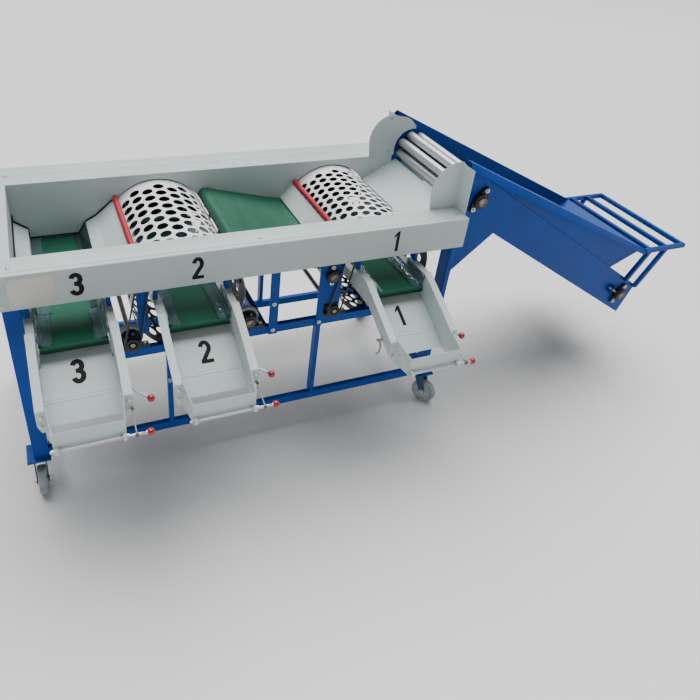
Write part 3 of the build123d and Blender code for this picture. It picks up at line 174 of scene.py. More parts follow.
PALE = dict(colour=(0.50, 0.58, 0.572), rough=0.40, vary=0.03, grain=4.0, dust=0.05,
            worn=(0.68, 0.73, 0.71), wear=0.4, Specular_IOR_Level=0.35)
WEAVE = dict(vary=0.10, grain=14.0, stretch=(1, 0.25, 1), bump=0.06, bump_scale=900.0, weave=160.0,
             shade_span=(0.80, 0.15))
DRUM_Z = 817
DRUMS = {"drum_small": (582, DRUM_Z), "drum_large": (-261, DRUM_Z)}
DRUM_SKIN = 222
MATS = {
    # Blue paint, with painted shade on faces that turn downward
    "blue_paint": surface("blue_paint", (0.003, 0.048, 0.262), 0.40, vary=0.10, grain=5.0, dust=0.04,
                          worn=(0.03, 0.11, 0.38), painted_shade=(0.002, 0.016, 0.075), Specular_IOR_Level=0.15),
    "pale_paint": surface("pale_paint", **PALE),
    # The front panel's pale paint, with painted shade on its upright faces
    "front_panel": surface("panel_paint_with_painted_shade", painted_shade=(0.375, 0.43, 0.425), shade_span=(0.60, 0.10), **PALE),
    # Belts, with painted shade where the belt turns down round its nose; the span is set in WEAVE
    "green_belt": surface("green_belt", (0.009, 0.092, 0.053), 0.48, dust=0.03, painted_shade=(0.003, 0.030, 0.018),
                          Specular_IOR_Level=0.3, **WEAVE),
    "discharge_belts": surface("green_discharge", (0.0085, 0.086, 0.050), 0.54, dust=0.01,
                               painted_shade=(0.003, 0.028, 0.017), Specular_IOR_Level=0.14, **WEAVE),
    "red_cover": surface("red_cover", (0.42, 0.016, 0.034), 0.45, vary=0.10, grain=20.0, dust=0.06,
                         Specular_IOR_Level=0.3),
    "red_knob": surface("red_knob", (0.31, 0.004, 0.013), 0.22, vary=0.06, grain=60.0, Coat_Weight=0.4),
    "zinc": surface("zinc", (0.52, 0.53, 0.55), 0.36, metal=1.0, vary=0.08, grain=26.0, bump=0.03),
    "wheel_rubber": surface("wheel_rubber", (0.27, 0.305, 0.325), 0.62, vary=0.12, grain=34.0,
                            bump=0.08, dust=0.08, Specular_IOR_Level=0.3),
    "clear_skirt": surface("clear_skirt", (0.42, 0.64, 0.70), 0.05, vary=0.03, grain=10.0, bump=0.14,
                           bump_scale=20.0, stretch=(1, 0.2, 1), Transmission_Weight=0.90, IOR=1.46),
    "bearing_iron": surface("bearing_iron", (0.022, 0.026, 0.032), 0.52, metal=0.3, vary=0.20, grain=30.0,
                            bump=0.15, dust=0.06, Specular_IOR_Level=0.4),
    "motor_paint": surface("motor_paint", (0.10, 0.135, 0.17), 0.45, vary=0.10, grain=12.0, dust=0.10,
                           worn=(0.30, 0.32, 0.34)),
    "chain_steel": surface("chain_steel", (0.060, 0.058, 0.056), 0.46, metal=0.8, vary=0.25,
                           grain=80.0, bump=0.08),
}
# Drum whites, with painted shade on the inner face of each skin
for node, (axis_x, axis_z) in DRUMS.items():
    MATS[node] = surface(f"{node}_white", (0.80, 0.81, 0.83), 0.36, vary=0.03, grain=16.0, dust=0.05,
                         interior_shade=(axis_x, axis_z, DRUM_SKIN, (0.012, 0.014, 0.018)), Specular_IOR_Level=0.35)
for corner in ("fl", "fr", "bl", "br"):
    MATS[f"caster_fork_{corner}"] = surface(f"fork_steel_{corner}", (0.035, 0.070, 0.150), 0.46, metal=0.2,
                                            vary=0.15, grain=30.0, dust=0.08)
black_mark = surface("black_mark", (0.006, 0.006, 0.007), 0.55, vary=0.2, grain=40.0, Specular_IOR_Level=0.15)
# Black for the rubber stops, and for painted shade in the bay's gaps
black_rubber_and_gap_shade = surface("black_rubber_and_gap_shade", (0.012, 0.013, 0.014), 0.60, vary=0.2, grain=60.0, Specular_IOR_Level=0.2)
# Opaque dark colour for a clear skirt that sits in shade: painted shade
skirt_in_painted_shade = surface("skirt_in_painted_shade", (0.022, 0.040, 0.042), 0.16, vary=0.10, grain=20.0, Specular_IOR_Level=0.5)
bare_plate = surface("bare_plate", (0.47, 0.46, 0.43), 0.42, metal=0.3, vary=0.06, grain=60.0,
                     stretch=(1, 1, 14))
pale_core = surface("pale_core", (0.38, 0.42, 0.44), 0.48, vary=0.08, grain=30.0, dust=0.06)
dark_ring = surface("dark_ring", (0.16, 0.13, 0.11), 0.42, metal=0.8, vary=0.2, grain=60.0)
shaft_steel = surface("shaft_steel", (0.24, 0.22, 0.20), 0.44, metal=0.9, vary=0.2, grain=40.0)
roller_steel = surface("roller_steel", (0.60, 0.61, 0.63), 0.44, metal=0.85, vary=0.05, grain=12.0,
                       stretch=(1, 0.08, 1), bump=0.02)
for name in ("lift_roller_low", "lift_roller_high", "discharge_drive_shaft", "elevator_head_shaft",
             "elevator_tail_shaft"):
    MATS[name] = shaft_steel
slot_of = {row["node"]: row["material_slot"] for row in frame["record"]["subparts"]}
for name, obj in nodes.items():
    obj.data.materials.clear()
    obj.data.materials.append(MATS.get(name) or MATS[slot_of[name]])


# Mesh helpers

def link(obj):
    bpy.context.scene.collection.objects.link(obj)
    return obj


def piece(name, bm, body, slot, mat=None, stands_for=(), crease=35):
    """Finish a mesh drawn in millimetres as a piece that rides on a body."""
    bmesh.ops.recalc_face_normals(bm, faces=bm.faces)
    bmesh.ops.scale(bm, vec=(MM, MM, MM), verts=bm.verts)
    for face in bm.faces:
        face.smooth = True
    for edge in bm.edges:
        if len(edge.link_faces) == 2 and edge.calc_face_angle(0) > radians(crease):
            edge.smooth = False
    mesh = bpy.data.meshes.new(name)
    bm.to_mesh(mesh)
    bm.free()
    mesh.materials.append(mat or MATS[slot])
    obj = link(bpy.data.objects.new(name, mesh))
    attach(obj, body)
    for node in stands_for:
        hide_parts(node)
    return obj


def square_to(axis):
    """Two unit vectors square to an axis and to each other."""
    axis = Vector(axis).normalized()
    first = Vector((0, 0, 1)) if abs(axis.z) < 0.9 else Vector((1, 0, 0))
    first = (first - axis * first.dot(axis)).normalized()
    return first, axis.cross(first)


def lathe(bm, profile, origin, axis, seg=36):
    """Surface of revolution; the profile is (radius, distance along the axis), open ends are left open."""
    origin = Vector(origin)
    axis = Vector(axis).normalized()
    first, second = square_to(axis)
    rings = []
    for radius, along in profile:
        centre = origin + axis * along
        if radius < 1e-6:
            rings.append([bm.verts.new(centre)])
            continue
        turns = [2 * pi * (i + 0.5) / seg for i in range(seg)]
        rings.append([bm.verts.new(centre + (first * cos(t) + second * sin(t)) * radius) for t in turns])
    for low, high in zip(rings, rings[1:]):
        count = max(len(low), len(high))
        for i in range(count):
            j = (i + 1) % count
            if len(low) == 1:
                bm.faces.new((low[0], high[j], high[i]))
            elif len(high) == 1:
                bm.faces.new((low[i], low[j], high[0]))
            else:
                bm.faces.new((low[i], low[j], high[j], high[i]))


def ring(bm, profile, origin, axis, seg=36):
    """Surface of revolution with a closed profile."""
    lathe(bm, list(profile) + [profile[0]], origin, axis, seg)


def prism(bm, outline, depth):
    """Flat outline pushed along a vector."""
    depth = Vector(depth)
    low = [bm.verts.new(Vector(p)) for p in outline]
    high = [bm.verts.new(Vector(p) + depth) for p in outline]
    bm.faces.new(low)
    bm.faces.new(high[::-1])
    for i in range(len(low)):
        j = (i + 1) % len(low)
        bm.faces.new((low[i], low[j], high[j], high[i]))


def skin(bm, loops):
    """Closed skin over a row of equal loops, shut at both ends."""
    for first, second in zip(loops, loops[1:]):
        for i in range(len(first)):
            j = (i + 1) % len(first)
            bm.faces.new((first[i], first[j], second[j], second[i]))
    bm.faces.new(loops[0])
    bm.faces.new(loops[-1][::-1])


def slab(bm, low, high, round_off=0.0):
    """Box between two corners with rounded edges."""
    made = bmesh.ops.create_cube(bm, size=1.0)["verts"]
    low, high = Vector(low), Vector(high)
    for vert in made:
        vert.co = Vector(l + (c + 0.5) * (h - l) for l, h, c in zip(low, high, vert.co))
    if round_off:
        edges = list(dict.fromkeys(edge for vert in made for edge in vert.link_edges))
        bmesh.ops.bevel(bm, geom=edges, offset=round_off, segments=3, profile=0.5, affect="EDGES")


def bend_line(points, radius, steps=5):
    """Line through the points with its corners rounded."""
    points = [Vector(p) for p in points]
    line = [points[0]]
    for before, at, after in zip(points, points[1:], points[2:]):
        back = (before - at).normalized() * min(radius, (before - at).length * 0.45)
        ahead = (after - at).normalized() * min(radius, (after - at).length * 0.45)
        for i in range(steps + 1):
            t = i / steps
            line.append(at + back * (1 - t) ** 2 + ahead * t**2)
    line.append(points[-1])
    return line


def pipe(bm, points, radius, bend=10.0, seg=14, flat=1.0):
    """Round bar along a bent line, with domed ends; flat squeezes it across."""
    line = bend_line(points, bend)
    side = None
    rings = []
    for i, at in enumerate(line):
        ahead = (line[min(i + 1, len(line) - 1)] - line[max(i - 1, 0)]).normalized()
        if side is None:
            side = square_to(ahead)[0]
        side = (side - ahead * side.dot(ahead)).normalized()
        other = ahead.cross(side)
        turns = [2 * pi * k / seg for k in range(seg)]
        rings.append([
            bm.verts.new(at + side * cos(t) * radius + other * sin(t) * radius * flat) for t in turns
        ])
    for low, high in zip(rings, rings[1:]):
        for i in range(seg):
            j = (i + 1) % seg
            bm.faces.new((low[i], low[j], high[j], high[i]))
    for end, tip in ((rings[0], line[0] - line[1]), (rings[-1], line[-1] - line[-2])):
        crown = bm.verts.new(sum((v.co for v in end), Vector()) / seg + tip.normalized() * radius * 0.4)
        for i in range(seg):
            bm.faces.new((end[i], end[(i + 1) % seg], crown))


def bolt(bm, at, axis, flats, shank=0.0):
    """Hexagon head on a washer; a shank and nut on the far side if a grip length is given."""
    lathe(bm, [(0, 0), (0.98 * flats, 0), (1.0 * flats, 0.05 * flats), (1.0 * flats, 0.13 * flats),
               (0.95 * flats, 0.16 * flats), (0, 0.16 * flats)], at, axis, 20)
    lathe(bm, [(0, 0.16 * flats), (0.577 * flats, 0.16 * flats), (0.577 * flats, 0.66 * flats),
               (0.50 * flats, 0.76 * flats), (0, 0.76 * flats)], at, axis, 6)
    if shank:
        far = Vector(at) - Vector(axis).normalized() * shank
        back = -Vector(axis)
        lathe(bm, [(0, 0), (0.577 * flats, 0), (0.577 * flats, 0.5 * flats), (0.48 * flats, 0.6 * flats),
                   (0.3 * flats, 0.6 * flats), (0.3 * flats, 0.9 * flats), (0, 0.95 * flats)], far, back, 6)


def screw(bm, at, axis, radius):
    """Pan head with a small recess, on a thin washer."""
    lathe(bm, [(0, 0), (1.35 * radius, 0), (1.35 * radius, 0.14 * radius), (radius, 0.16 * radius),
               (radius, 0.42 * radius), (0.82 * radius, 0.62 * radius), (0.45 * radius, 0.74 * radius),
               (0.34 * radius, 0.72 * radius), (0.16 * radius, 0.34 * radius), (0, 0.30 * radius)],
          at, axis, 20)


def loop_points(first, second, radius_1, radius_2, count):
    """Points evenly round a belt line over two circles in XZ."""
    first, second = Vector(first), Vector(second)
    run = second - first
    lean = acos((radius_1 - radius_2) / run.length)
    way = atan2(run.y, run.x)
    straight = (run.length**2 - (radius_1 - radius_2) ** 2) ** 0.5
    turn_2 = 2 * lean
    turn_1 = 2 * pi - turn_2
    total = 2 * straight + radius_1 * turn_1 + radius_2 * turn_2
    spots = []
    for i in range(count):
        d = total * i / count
        if d < radius_2 * turn_2:
            a = way - lean + d / radius_2
            spots.append(second + Vector((cos(a), sin(a))) * radius_2)
            continue
        d -= radius_2 * turn_2
        left = Vector((cos(way + lean), sin(way + lean)))
        if d < straight:
            spots.append((second + left * radius_2).lerp(first + left * radius_1, d / straight))
            continue
        d -= straight
        if d < radius_1 * turn_1:
            a = way + lean + d / radius_1
            spots.append(first + Vector((cos(a), sin(a))) * radius_1)
            continue
        d -= radius_1 * turn_1
        right = Vector((cos(way - lean), sin(way - lean)))
        spots.append((first + right * radius_1).lerp(second + right * radius_2, d / straight))
    return spots


def link_plate(bm, first, second, half, waist, y0, y1):
    """Waisted side plate of a chain link between two pins in XZ."""
    along = (second - first).normalized()
    across = Vector((-along.y, along.x))
    outline = []
    for centre, way in ((second, 1), (first, -1)):
        for i in range(7):
            a = -pi / 2 + pi * i / 6
            outline.append(centre + along * way * cos(a) * half + across * way * sin(a) * half)
        middle = (first + second) / 2
        outline.append(middle + across * way * waist)
    prism(bm, [(p.x, y0, p.y) for p in outline], (0, y1 - y0, 0))


# Places taken from the frame's sizes

# Axes lie in XZ, but FLAP, CLAMP and TAB in YZ; casters have a place in XY and a heading in degrees
BELTS = {1: 582, 2: -261, 3: -704}
SUPPORTS = {"1l": 345.866, "1r": 818.134, "2l": -497.134, "2r": -24.866}
SUPPORT_Z = 682
SUPPORT_WHEELS = ((-362, -338), (292, 316))
SHAFT_R = 10
EJECTORS = {1: (403.68, 973.11), 2: (-439.32, 973.11)}
LIFT_LOW = (317.97, 866.89)
LIFT_HIGH = (-43.88, 956.92)
HEAD = (1026, 1102)
TAIL = (2145.17, 413.48)
SLOPE = radians(31.6)
CHUTE = radians(26)
FLAP = (-651.144, 683.083)
CLAMP = (-862.877, 669.017)
TAB = (-756.4, 748.9)
RIM = 1070
UPRIGHTS_X = (74.12, 283.97)
END_FACE = 918
CASTERS = {"fl": (-900, -366, -90), "fr": (907.5, -361, -61), "bl": (-900, 349, 100), "br": (907.5, 340, 20)}

# Places along Y, front and back: faces with the way out of each, and the spans of the chains
FRAME_FACES = ((-404, -1), (383, 1))
PILLOW_BLOCKS = ((-385.5, -1), (364.5, 1))
LIFT_CHEEKS = ((-324, -1), (266, 1))
SIDE_PLATES = ((-338, -1), (276, 1))
CHEEK_FACES = ((-322, 1), (264, -1))
PANEL_FACE = -438
FRONT_CHAIN = (-415, -409)
BACK_CHAIN = (329, 335)


def chute(s, h):
    """Place in YZ at a distance down a chute and a depth under its upper edge."""
    return (-499 - s * cos(CHUTE) + h * sin(CHUTE), 873 - s * sin(CHUTE) - h * cos(CHUTE))


def slope(u, v):
    """Place in XZ at a distance down the elevator and a height over its shafts."""
    return (HEAD[0] + u * cos(SLOPE) + v * sin(SLOPE), HEAD[1] - u * sin(SLOPE) + v * cos(SLOPE))


# Numbers on the panel and the chute floors

ONE = [(0.42, 0), (0.78, 0), (0.78, 1), (0.52, 1), (0.14, 0.80), (0.14, 0.67), (0.42, 0.80)]


def arc(x, y, rx, ry, start, end, steps=18):
    """Points along part of an ellipse, between two angles in degrees."""
    turns = [radians(start + (end - start) * i / steps) for i in range(steps + 1)]
    return [(x + rx * cos(t), y + ry * sin(t)) for t in turns]


def ribbon(line, width):
    """Outline of a band of one width along a flat line."""
    left, right = [], []
    for i, (x, y) in enumerate(line):
        ax, ay = line[max(i - 1, 0)]
        bx, by = line[min(i + 1, len(line) - 1)]
        run = hypot(bx - ax, by - ay)
        nx, ny = -(by - ay) / run * width / 2, (bx - ax) / run * width / 2
        left.append((x + nx, y + ny))
        right.append((x - nx, y - ny))
    return left + right[::-1]


def numeral(name, char, centre, right, up, width, height):
    """Painted number, drawn in strokes; it stands a little proud of the sheet."""
    right, up, centre = Vector(right).normalized(), Vector(up).normalized(), Vector(centre)
    out = right.cross(up)
    band = 0.35 * width
    half, high = width / 2, height / 2
    inner = half - band / 2
    if char == "1":
        shapes = [[((x - 0.5) * width, (y - 0.5) * height) for x, y in ONE]]
    elif char == "2":
        bowl = arc(0, high - band / 2 - 0.235 * height, inner, 0.235 * height, 168, -28)
        shapes = [ribbon(bowl + [(-inner, -high + band * 0.6)], band),
                  [(-half, -high), (half, -high), (half, -high + band * 0.92), (-half, -high + band * 0.92)]]
    else:
        top = arc(0, high - band / 2 - 0.19 * height, inner * 0.92, 0.19 * height, 165, -75)
        low = arc(0, -high + band / 2 + 0.215 * height, inner, 0.215 * height, 75, -165)
        middle = (top[-1][1] + low[0][1]) / 2
        waist = [(-0.14 * width, middle), (0.16 * width, middle)]
        shapes = [ribbon(top, band), ribbon(low, band), ribbon(waist, band)]
    bm = bmesh.new()
    for step, shape in enumerate(shapes):
        base = centre + out * 0.02 * step
        prism(bm, [base + right * x + up * y for x, y in shape], out * 0.33)
    piece(name, bm, "base", "bearing_iron", black_mark)


for char, x, width in (("3", -669, 49), ("2", -247, 44), ("1", 580, 40)):
    numeral(f"panel_numeral_{char}", char, (x, PANEL_FACE, 1005), (1, 0, 0), (0, 0, 1), width, 93)
for char, x, s, width in (("3", -707, 121, 51), ("2", -257, 134, 47), ("1", 574, 131, 42)):
    y, z = chute(s, 101)
    numeral(f"chute_numeral_{char}", char, (x, y, z), (1, 0, 0), (0, cos(CHUTE), sin(CHUTE)), width, 94)


# Rim cover strips, blank plate, and the fasteners

bm = bmesh.new()
for y0, y1 in ((-416, -325), (352, 437)):
    slab(bm, (-919, y0, RIM - 0.4), (914, y1, RIM + 0.9), 0.4)
piece("rim_strips", bm, "base", "pale_paint")

bm = bmesh.new()
slab(bm, (-884, -438.9, 954), (-736, -437.8, 1056), 0.3)
for x in (-877, -743):
    for z in (961, 1049):
        screw(bm, (x, -438.9, z), (0, -1, 0), 2.6)
piece("blank_plate", bm, "base", "zinc", bare_plate)

bm = bmesh.new()
for x, y in ((-873, -391), (3, -391), (890, -388), (-860, 347), (30, 333), (890, 347)):
    screw(bm, (x, y, RIM + 0.5), (0, 0, 1), 6.5)
for x, z in ((900, 952), (-908, 952)):
    screw(bm, (x, PANEL_FACE, z), (0, -1, 0), 6)
for x, z in ((800, 1090), (898, 1090), (890, 1258)):
    for y, out in CHEEK_FACES:
        screw(bm, (x, y, z), (0, out, 0), 5.5)
screw(bm, (HEAD[0], CHEEK_FACES[1][0], 1216), (0, -1, 0), 5.5)
for z in (1092, 1180, 1255):
    for y in (-390, 332):
        screw(bm, (END_FACE, y, z), (1, 0, 0), 5)
for belt_x in BELTS.values():
    for side in (-1, 1):
        for low in (24, 62):
            bolt(bm, (belt_x + side * 138.5, TAB[0], TAB[1] - low), (0, -1, 0), 9)
for x in UPRIGHTS_X:
    for z in (1048, 629):
        for y, out in FRAME_FACES:
            bolt(bm, (x, y, z), (0, out, 0), 9)
bolt(bm, (UPRIGHTS_X[0], FRAME_FACES[0][0], 760), (0, -1, 0), 9)
for z in (761, 982):
    for y in (-356, 294):
        bolt(bm, (923, y, z), (1, 0, 0), 13)
piece("screws_and_bolts", bm, "base", "zinc", stands_for=("fasteners",))


# Bearings: bolts, insert rings and grease nipples

bm = bmesh.new()
inserts = bmesh.new()
PILLOW_BOLTS = 48
LIFT_BOLTS = 37
FLANGE_BOLTS = 50
INSERT = [(0.52, 0.0), (1.0, 0.0), (1.0, 0.16), (0.86, 0.30), (0.60, 0.30), (0.52, 0.24)]


def insert_ring(at, axis, radius, bore):
    """Inner ring of a bearing, round its shaft."""
    ring(inserts, [(max(r * radius, bore), t * radius) for r, t in INSERT], at, axis, 32)


for x in SUPPORTS.values():
    for y, out in PILLOW_BLOCKS:
        for side in (-1, 1):
            bolt(bm, (x + side * PILLOW_BOLTS, y, SUPPORT_Z - 19), (0, 0, 1), 11)
        insert_ring((x, y + out * 12.5, SUPPORT_Z), (0, out, 0), 19, SHAFT_R + 0.1)
        lathe(bm, [(0, 0), (3.4, 0), (3.4, 3), (2.2, 4), (2.2, 6), (3, 7.5), (1.6, 10), (0, 10)],
              (x + 6, y, SUPPORT_Z + 27.5), (0.2, 0, 1), 10)
for y, out in FRAME_FACES:
    for side in (-1, 1):
        bolt(bm, (LIFT_LOW[0], y + out * 11.7, LIFT_LOW[1] + side * LIFT_BOLTS), (0, out, 0), 10)
    insert_ring((LIFT_LOW[0], y + out * 26, LIFT_LOW[1]), (0, out, 0), 18, SHAFT_R + 0.1)
for y, out in LIFT_CHEEKS:
    insert_ring((LIFT_HIGH[0], y + out * 24, LIFT_HIGH[1]), (0, out, 0), 17, SHAFT_R + 0.1)
for at in (HEAD, TAIL):
    for y, out in SIDE_PLATES:
        for side in (-1, 1):
            x, z = at[0] + side * FLANGE_BOLTS * sin(SLOPE), at[1] + side * FLANGE_BOLTS * cos(SLOPE)
            bolt(bm, (x, y + out * 13.5, z), (0, out, 0), 11)
        if not (at is HEAD and out > 0):
            insert_ring((at[0], y + out * 30, at[1]), (0, out, 0), 23, 12.6)
piece("bearing_bolts", bm, "base", "zinc")
piece("bearing_inserts", inserts, "base", "zinc", dark_ring)


# Take-up brackets of the elevator tail, with their pushing screws

bm = bmesh.new()
rods = bmesh.new()
for y, out in SIDE_PLATES:
    outline = [slope(1222, -22), slope(1222, 22), slope(1227, 22), slope(1227, -22)]
    prism(bm, [(x, y, z) for x, z in outline], (0, out * 26, 0))
    start, end = slope(1200, 0), slope(1282, 0)
    pipe(rods, [(start[0], y + out * 14, start[1]), (end[0], y + out * 14, end[1])], 5, seg=12)
    way = Vector((cos(SLOPE), 0, -sin(SLOPE)))
    for u in (1214, 1228):
        x, z = slope(u, 0)
        lathe(rods, [(5, 0), (9.2, 0), (9.2, 6.5), (8, 7.5), (5, 7.5)], (x, y + out * 14, z), way, 6)
piece("take_up_brackets", bm, "base", "blue_paint")
piece("take_up_screws", rods, "base", "zinc")


# Support shafts with rubber-tyred wheels, and ejector rollers in red sleeves

def shaft(bm, at, radius, y0, y1, seg=24):
    """Round bar along Y with chamfered ends."""
    lathe(bm, [(0, y0), (radius - 1, y0), (radius, y0 + 1), (radius, y1 - 1), (radius - 1, y1), (0, y1)],
          (at[0], 0, at[1]), (0, 1, 0), seg)


def sprocket(bm, at, radius, bore, y0, y1, hub_to):
    """Disc under a chain, with a hub to one side."""
    ring(bm, [(bore, y0), (radius, y0), (radius, y1), (bore, y1)], (at[0], 0, at[1]), (0, 1, 0), 40)
    ring(bm, [(bore, hub_to), (radius * 0.62, hub_to), (radius * 0.62, y0), (bore, y0)],
         (at[0], 0, at[1]), (0, 1, 0), 28)


for side, x in SUPPORTS.items():
    body = f"trunnion_{side}"
    at = (x, SUPPORT_Z)
    driven = side in ("1l", "2l")
    steel, iron, tyre = bmesh.new(), bmesh.new(), bmesh.new()
    shaft(steel, at, SHAFT_R, -417 if driven else -400, 441 if driven else 379)
    for y0, y1 in SUPPORT_WHEELS:
        ring(iron, [(SHAFT_R, y0), (20, y0), (21, y0 + 1), (21, y0 + 6), (34, y0 + 8), (36, y0 + 2),
                    (40, y0 + 1), (40, y1 - 1), (36, y1 - 2), (34, y1 - 8), (21, y1 - 6), (21, y1 - 1),
                    (20, y1), (SHAFT_R, y1)], (x, 0, SUPPORT_Z), (0, 1, 0), 40)
        ring(tyre, [(40, y0 + 0.5), (46, y0), (48.6, y0 + 1.2), (49.7, y0 + 4), (49.7, y1 - 4),
                    (48.6, y1 - 1.2), (46, y1), (40, y1 - 0.5)], (x, 0, SUPPORT_Z), (0, 1, 0), 48)
        for i in range(4):
            a = pi / 4 + i * pi / 2
            for y, out in ((y0 + 7, -1), (y1 - 7, 1)):
                lathe(iron, [(0, 0), (3.6, 0), (3.6, 3), (2.8, 3.6), (0, 3.6)],
                      (x + 27.5 * cos(a), y, SUPPORT_Z + 27.5 * sin(a)), (0, out, 0), 6)
    if driven:
        sprocket(iron, at, 25, SHAFT_R, *FRONT_CHAIN, -404.5)
    if side == "1l":
        sprocket(iron, at, 25, SHAFT_R, *BACK_CHAIN, 341)
    piece(f"support_shaft_{side}", steel, body, "zinc", shaft_steel, stands_for=(f"trunnion_shaft_{side}",))
    piece(f"support_hubs_{side}", iron, body, "bearing_iron")
    piece(f"support_tyres_{side}", tyre, body, "wheel_rubber")

for number, at in EJECTORS.items():
    steel, sleeve = bmesh.new(), bmesh.new()
    shaft(steel, at, 6, -417, 278, 18)
    sprocket(steel, at, 18, 6, *FRONT_CHAIN, -405)
    ribs = [(11.2, -318), (11.9, -317)]
    for i in range(29):
        y = -315 + i * 19.8
        ribs += [(12.0, y), (12.0, y + 17.6), (11.6, y + 18.4), (11.6, y + 19.2)]
    ring(sleeve, [(6, -318)] + ribs + [(11.9, 259), (11.2, 260), (6, 260)], (at[0], 0, at[1]), (0, 1, 0), 28)
    piece(f"ejector_shaft_{number}", steel, f"ejector_{number}", "chain_steel",
          stands_for=(f"ejector_roller_{number}",))
    piece(f"ejector_sleeve_{number}", sleeve, f"ejector_{number}", "red_cover")


# Drive chains

CHAIN_PITCH = 12.7
BIG_PITCH_R = 29.3
SMALL_PITCH_R = 22.3


def drive_chain(plates, pins, first, second, radius_1, radius_2, y0, y1):
    """Chain of link plates and pins round two sprockets."""
    run = hypot(second[0] - first[0], second[1] - first[1])
    length = 2 * run + pi * (radius_1 + radius_2)
    count = 2 * round(length / CHAIN_PITCH / 2)
    spots = loop_points(first, second, radius_1, radius_2, count)
    for i, at in enumerate(spots):
        after = spots[(i + 1) % count]
        inset = 0.0 if i % 2 else 1.1
        link_plate(plates, at, after, 3.6, 2.5, y0 + inset, y0 + inset + 1.0)
        link_plate(plates, at, after, 3.6, 2.5, y1 - inset - 1.0, y1 - inset)
        lathe(pins, [(0, y0 - 0.3), (1.8, y0 - 0.3), (1.8, y0 + 2.1), (3.2, y0 + 2.1), (3.2, y1 - 2.1),
                     (1.8, y1 - 2.1), (1.8, y1 + 0.3), (0, y1 + 0.3)], (at.x, 0, at.y), (0, 1, 0), 10)


plates, pins = bmesh.new(), bmesh.new()
for number, side in ((1, "1l"), (2, "2l")):
    drive_chain(plates, pins, (SUPPORTS[side], SUPPORT_Z), EJECTORS[number], BIG_PITCH_R, SMALL_PITCH_R,
                *FRONT_CHAIN)
drive_chain(plates, pins, (SUPPORTS["1l"], SUPPORT_Z), LIFT_LOW, BIG_PITCH_R, BIG_PITCH_R, *BACK_CHAIN)
piece("chain_plates", plates, "base", "chain_steel", stands_for=("drive_chains",))
piece("chain_pins", pins, "base", "chain_steel")


# Roller chain of the elevator

PITCH_R = 68
LENGTH = 1314
ROLLERS = 56
LOOP = 2 * LENGTH + 2 * pi * PITCH_R


def chain_path(distance):
    """Place in XZ along the roller chain, from the head's top and down the upper run first."""
    turn = pi * PITCH_R
    if distance < LENGTH:
        return slope(distance, PITCH_R)
    distance -= LENGTH
    if distance < turn:
        a = distance / PITCH_R
        return slope(LENGTH + PITCH_R * sin(a), PITCH_R * cos(a))
    distance -= turn
    if distance < LENGTH:
        return slope(LENGTH - distance, -PITCH_R)
    a = (distance - LENGTH) / PITCH_R
    return slope(-PITCH_R * sin(a), -PITCH_R * cos(a))


spots = [Vector(chain_path(i * LOOP / ROLLERS)) for i in range(ROLLERS)]
tubes, plates, pins = bmesh.new(), bmesh.new(), bmesh.new()
for i, at in enumerate(spots):
    after = spots[(i + 1) % ROLLERS]
    lathe(tubes, [(0, -324), (10, -324), (11, -322.5), (17.5, -322.5), (18.5, -324.5), (20.2, -325),
                  (21, -324), (21, 262), (20.2, 263), (18.5, 262.5), (17.5, 260.5), (11, 260.5), (10, 262),
                  (0, 262)], (at.x, 0, at.y), (0, 1, 0), 28)
    for band, out in ((-331, -1), (265, 1)):
        low = band + (2.0 if i % 2 else 0.0)
        link_plate(plates, at, after, 8, 6, low, low + 1.9)
        lathe(pins, [(0, 0), (6, 0), (6, 8.5), (5.2, 9.0), (0, 9.0)],
              (at.x, -323 if out < 0 else 261, at.y), (0, out, 0), 14)
piece("elevator_rollers", tubes, "base", "zinc", roller_steel, stands_for=("roller_chain",))
piece("elevator_chain_plates", plates, "base", "chain_steel")
piece("elevator_chain_pins", pins, "base", "zinc")


# Clear skirts, bent from their clamping bars down onto the belts

SHEET = 1.4
BELT_FACE = 816.4
SKIRT_FROM_AXIS = 121
FRONT_RUN = (-511, -361)
REAR_RUN = (-359, 258)
BAY_RUN = (-318, 258)
OUTLET_RUN = (-360.5, -324)
FRONT_SKIRT = [(0.5, 867), (3, 844), (14, 822), (32, 818.4), (44, 818.6), (51, 822)]
REAR_SKIRT = [(0.5, 829), (5, 823.5), (16, 819), (36, 818.4), (46, 818.8), (53, 822)]
BAY_SKIRT = {
    -1: [(17, 820), (26, 818.4), (42, 818.4), (54, 818.8), (62, 822)],
    1: [(-9.2, 872.3), (21.7, 822), (26, 819.6), (34, 818.4), (41, 819.6)],
}


def skirt(bm, edge, side, y0, y1, profile):
    """Clear sheet bent down onto a belt, waving a little along its free edge."""
    line = bend_line(profile, 40, 6)
    under = []
    for i, at in enumerate(line):
        along = line[min(i + 1, len(line) - 1)] - line[max(i - 1, 0)]
        under.append(at + Vector((-along.y, along.x)).normalized() * -SHEET)
    rows = max(2, round((y1 - y0) / 6))
    loops = []
    for row in range(rows + 1):
        y = y0 + (y1 - y0) * row / rows
        sway = 1.2 * sin(row * 0.9 + edge)
        loop = []
        for at in line + under[::-1]:
            out = at.x + sway * min(at.x / 51, 1.0)
            loop.append(bm.verts.new((edge - side * out, y, max(at.y, BELT_FACE))))
        loops.append(loop)
    skin(bm, loops)


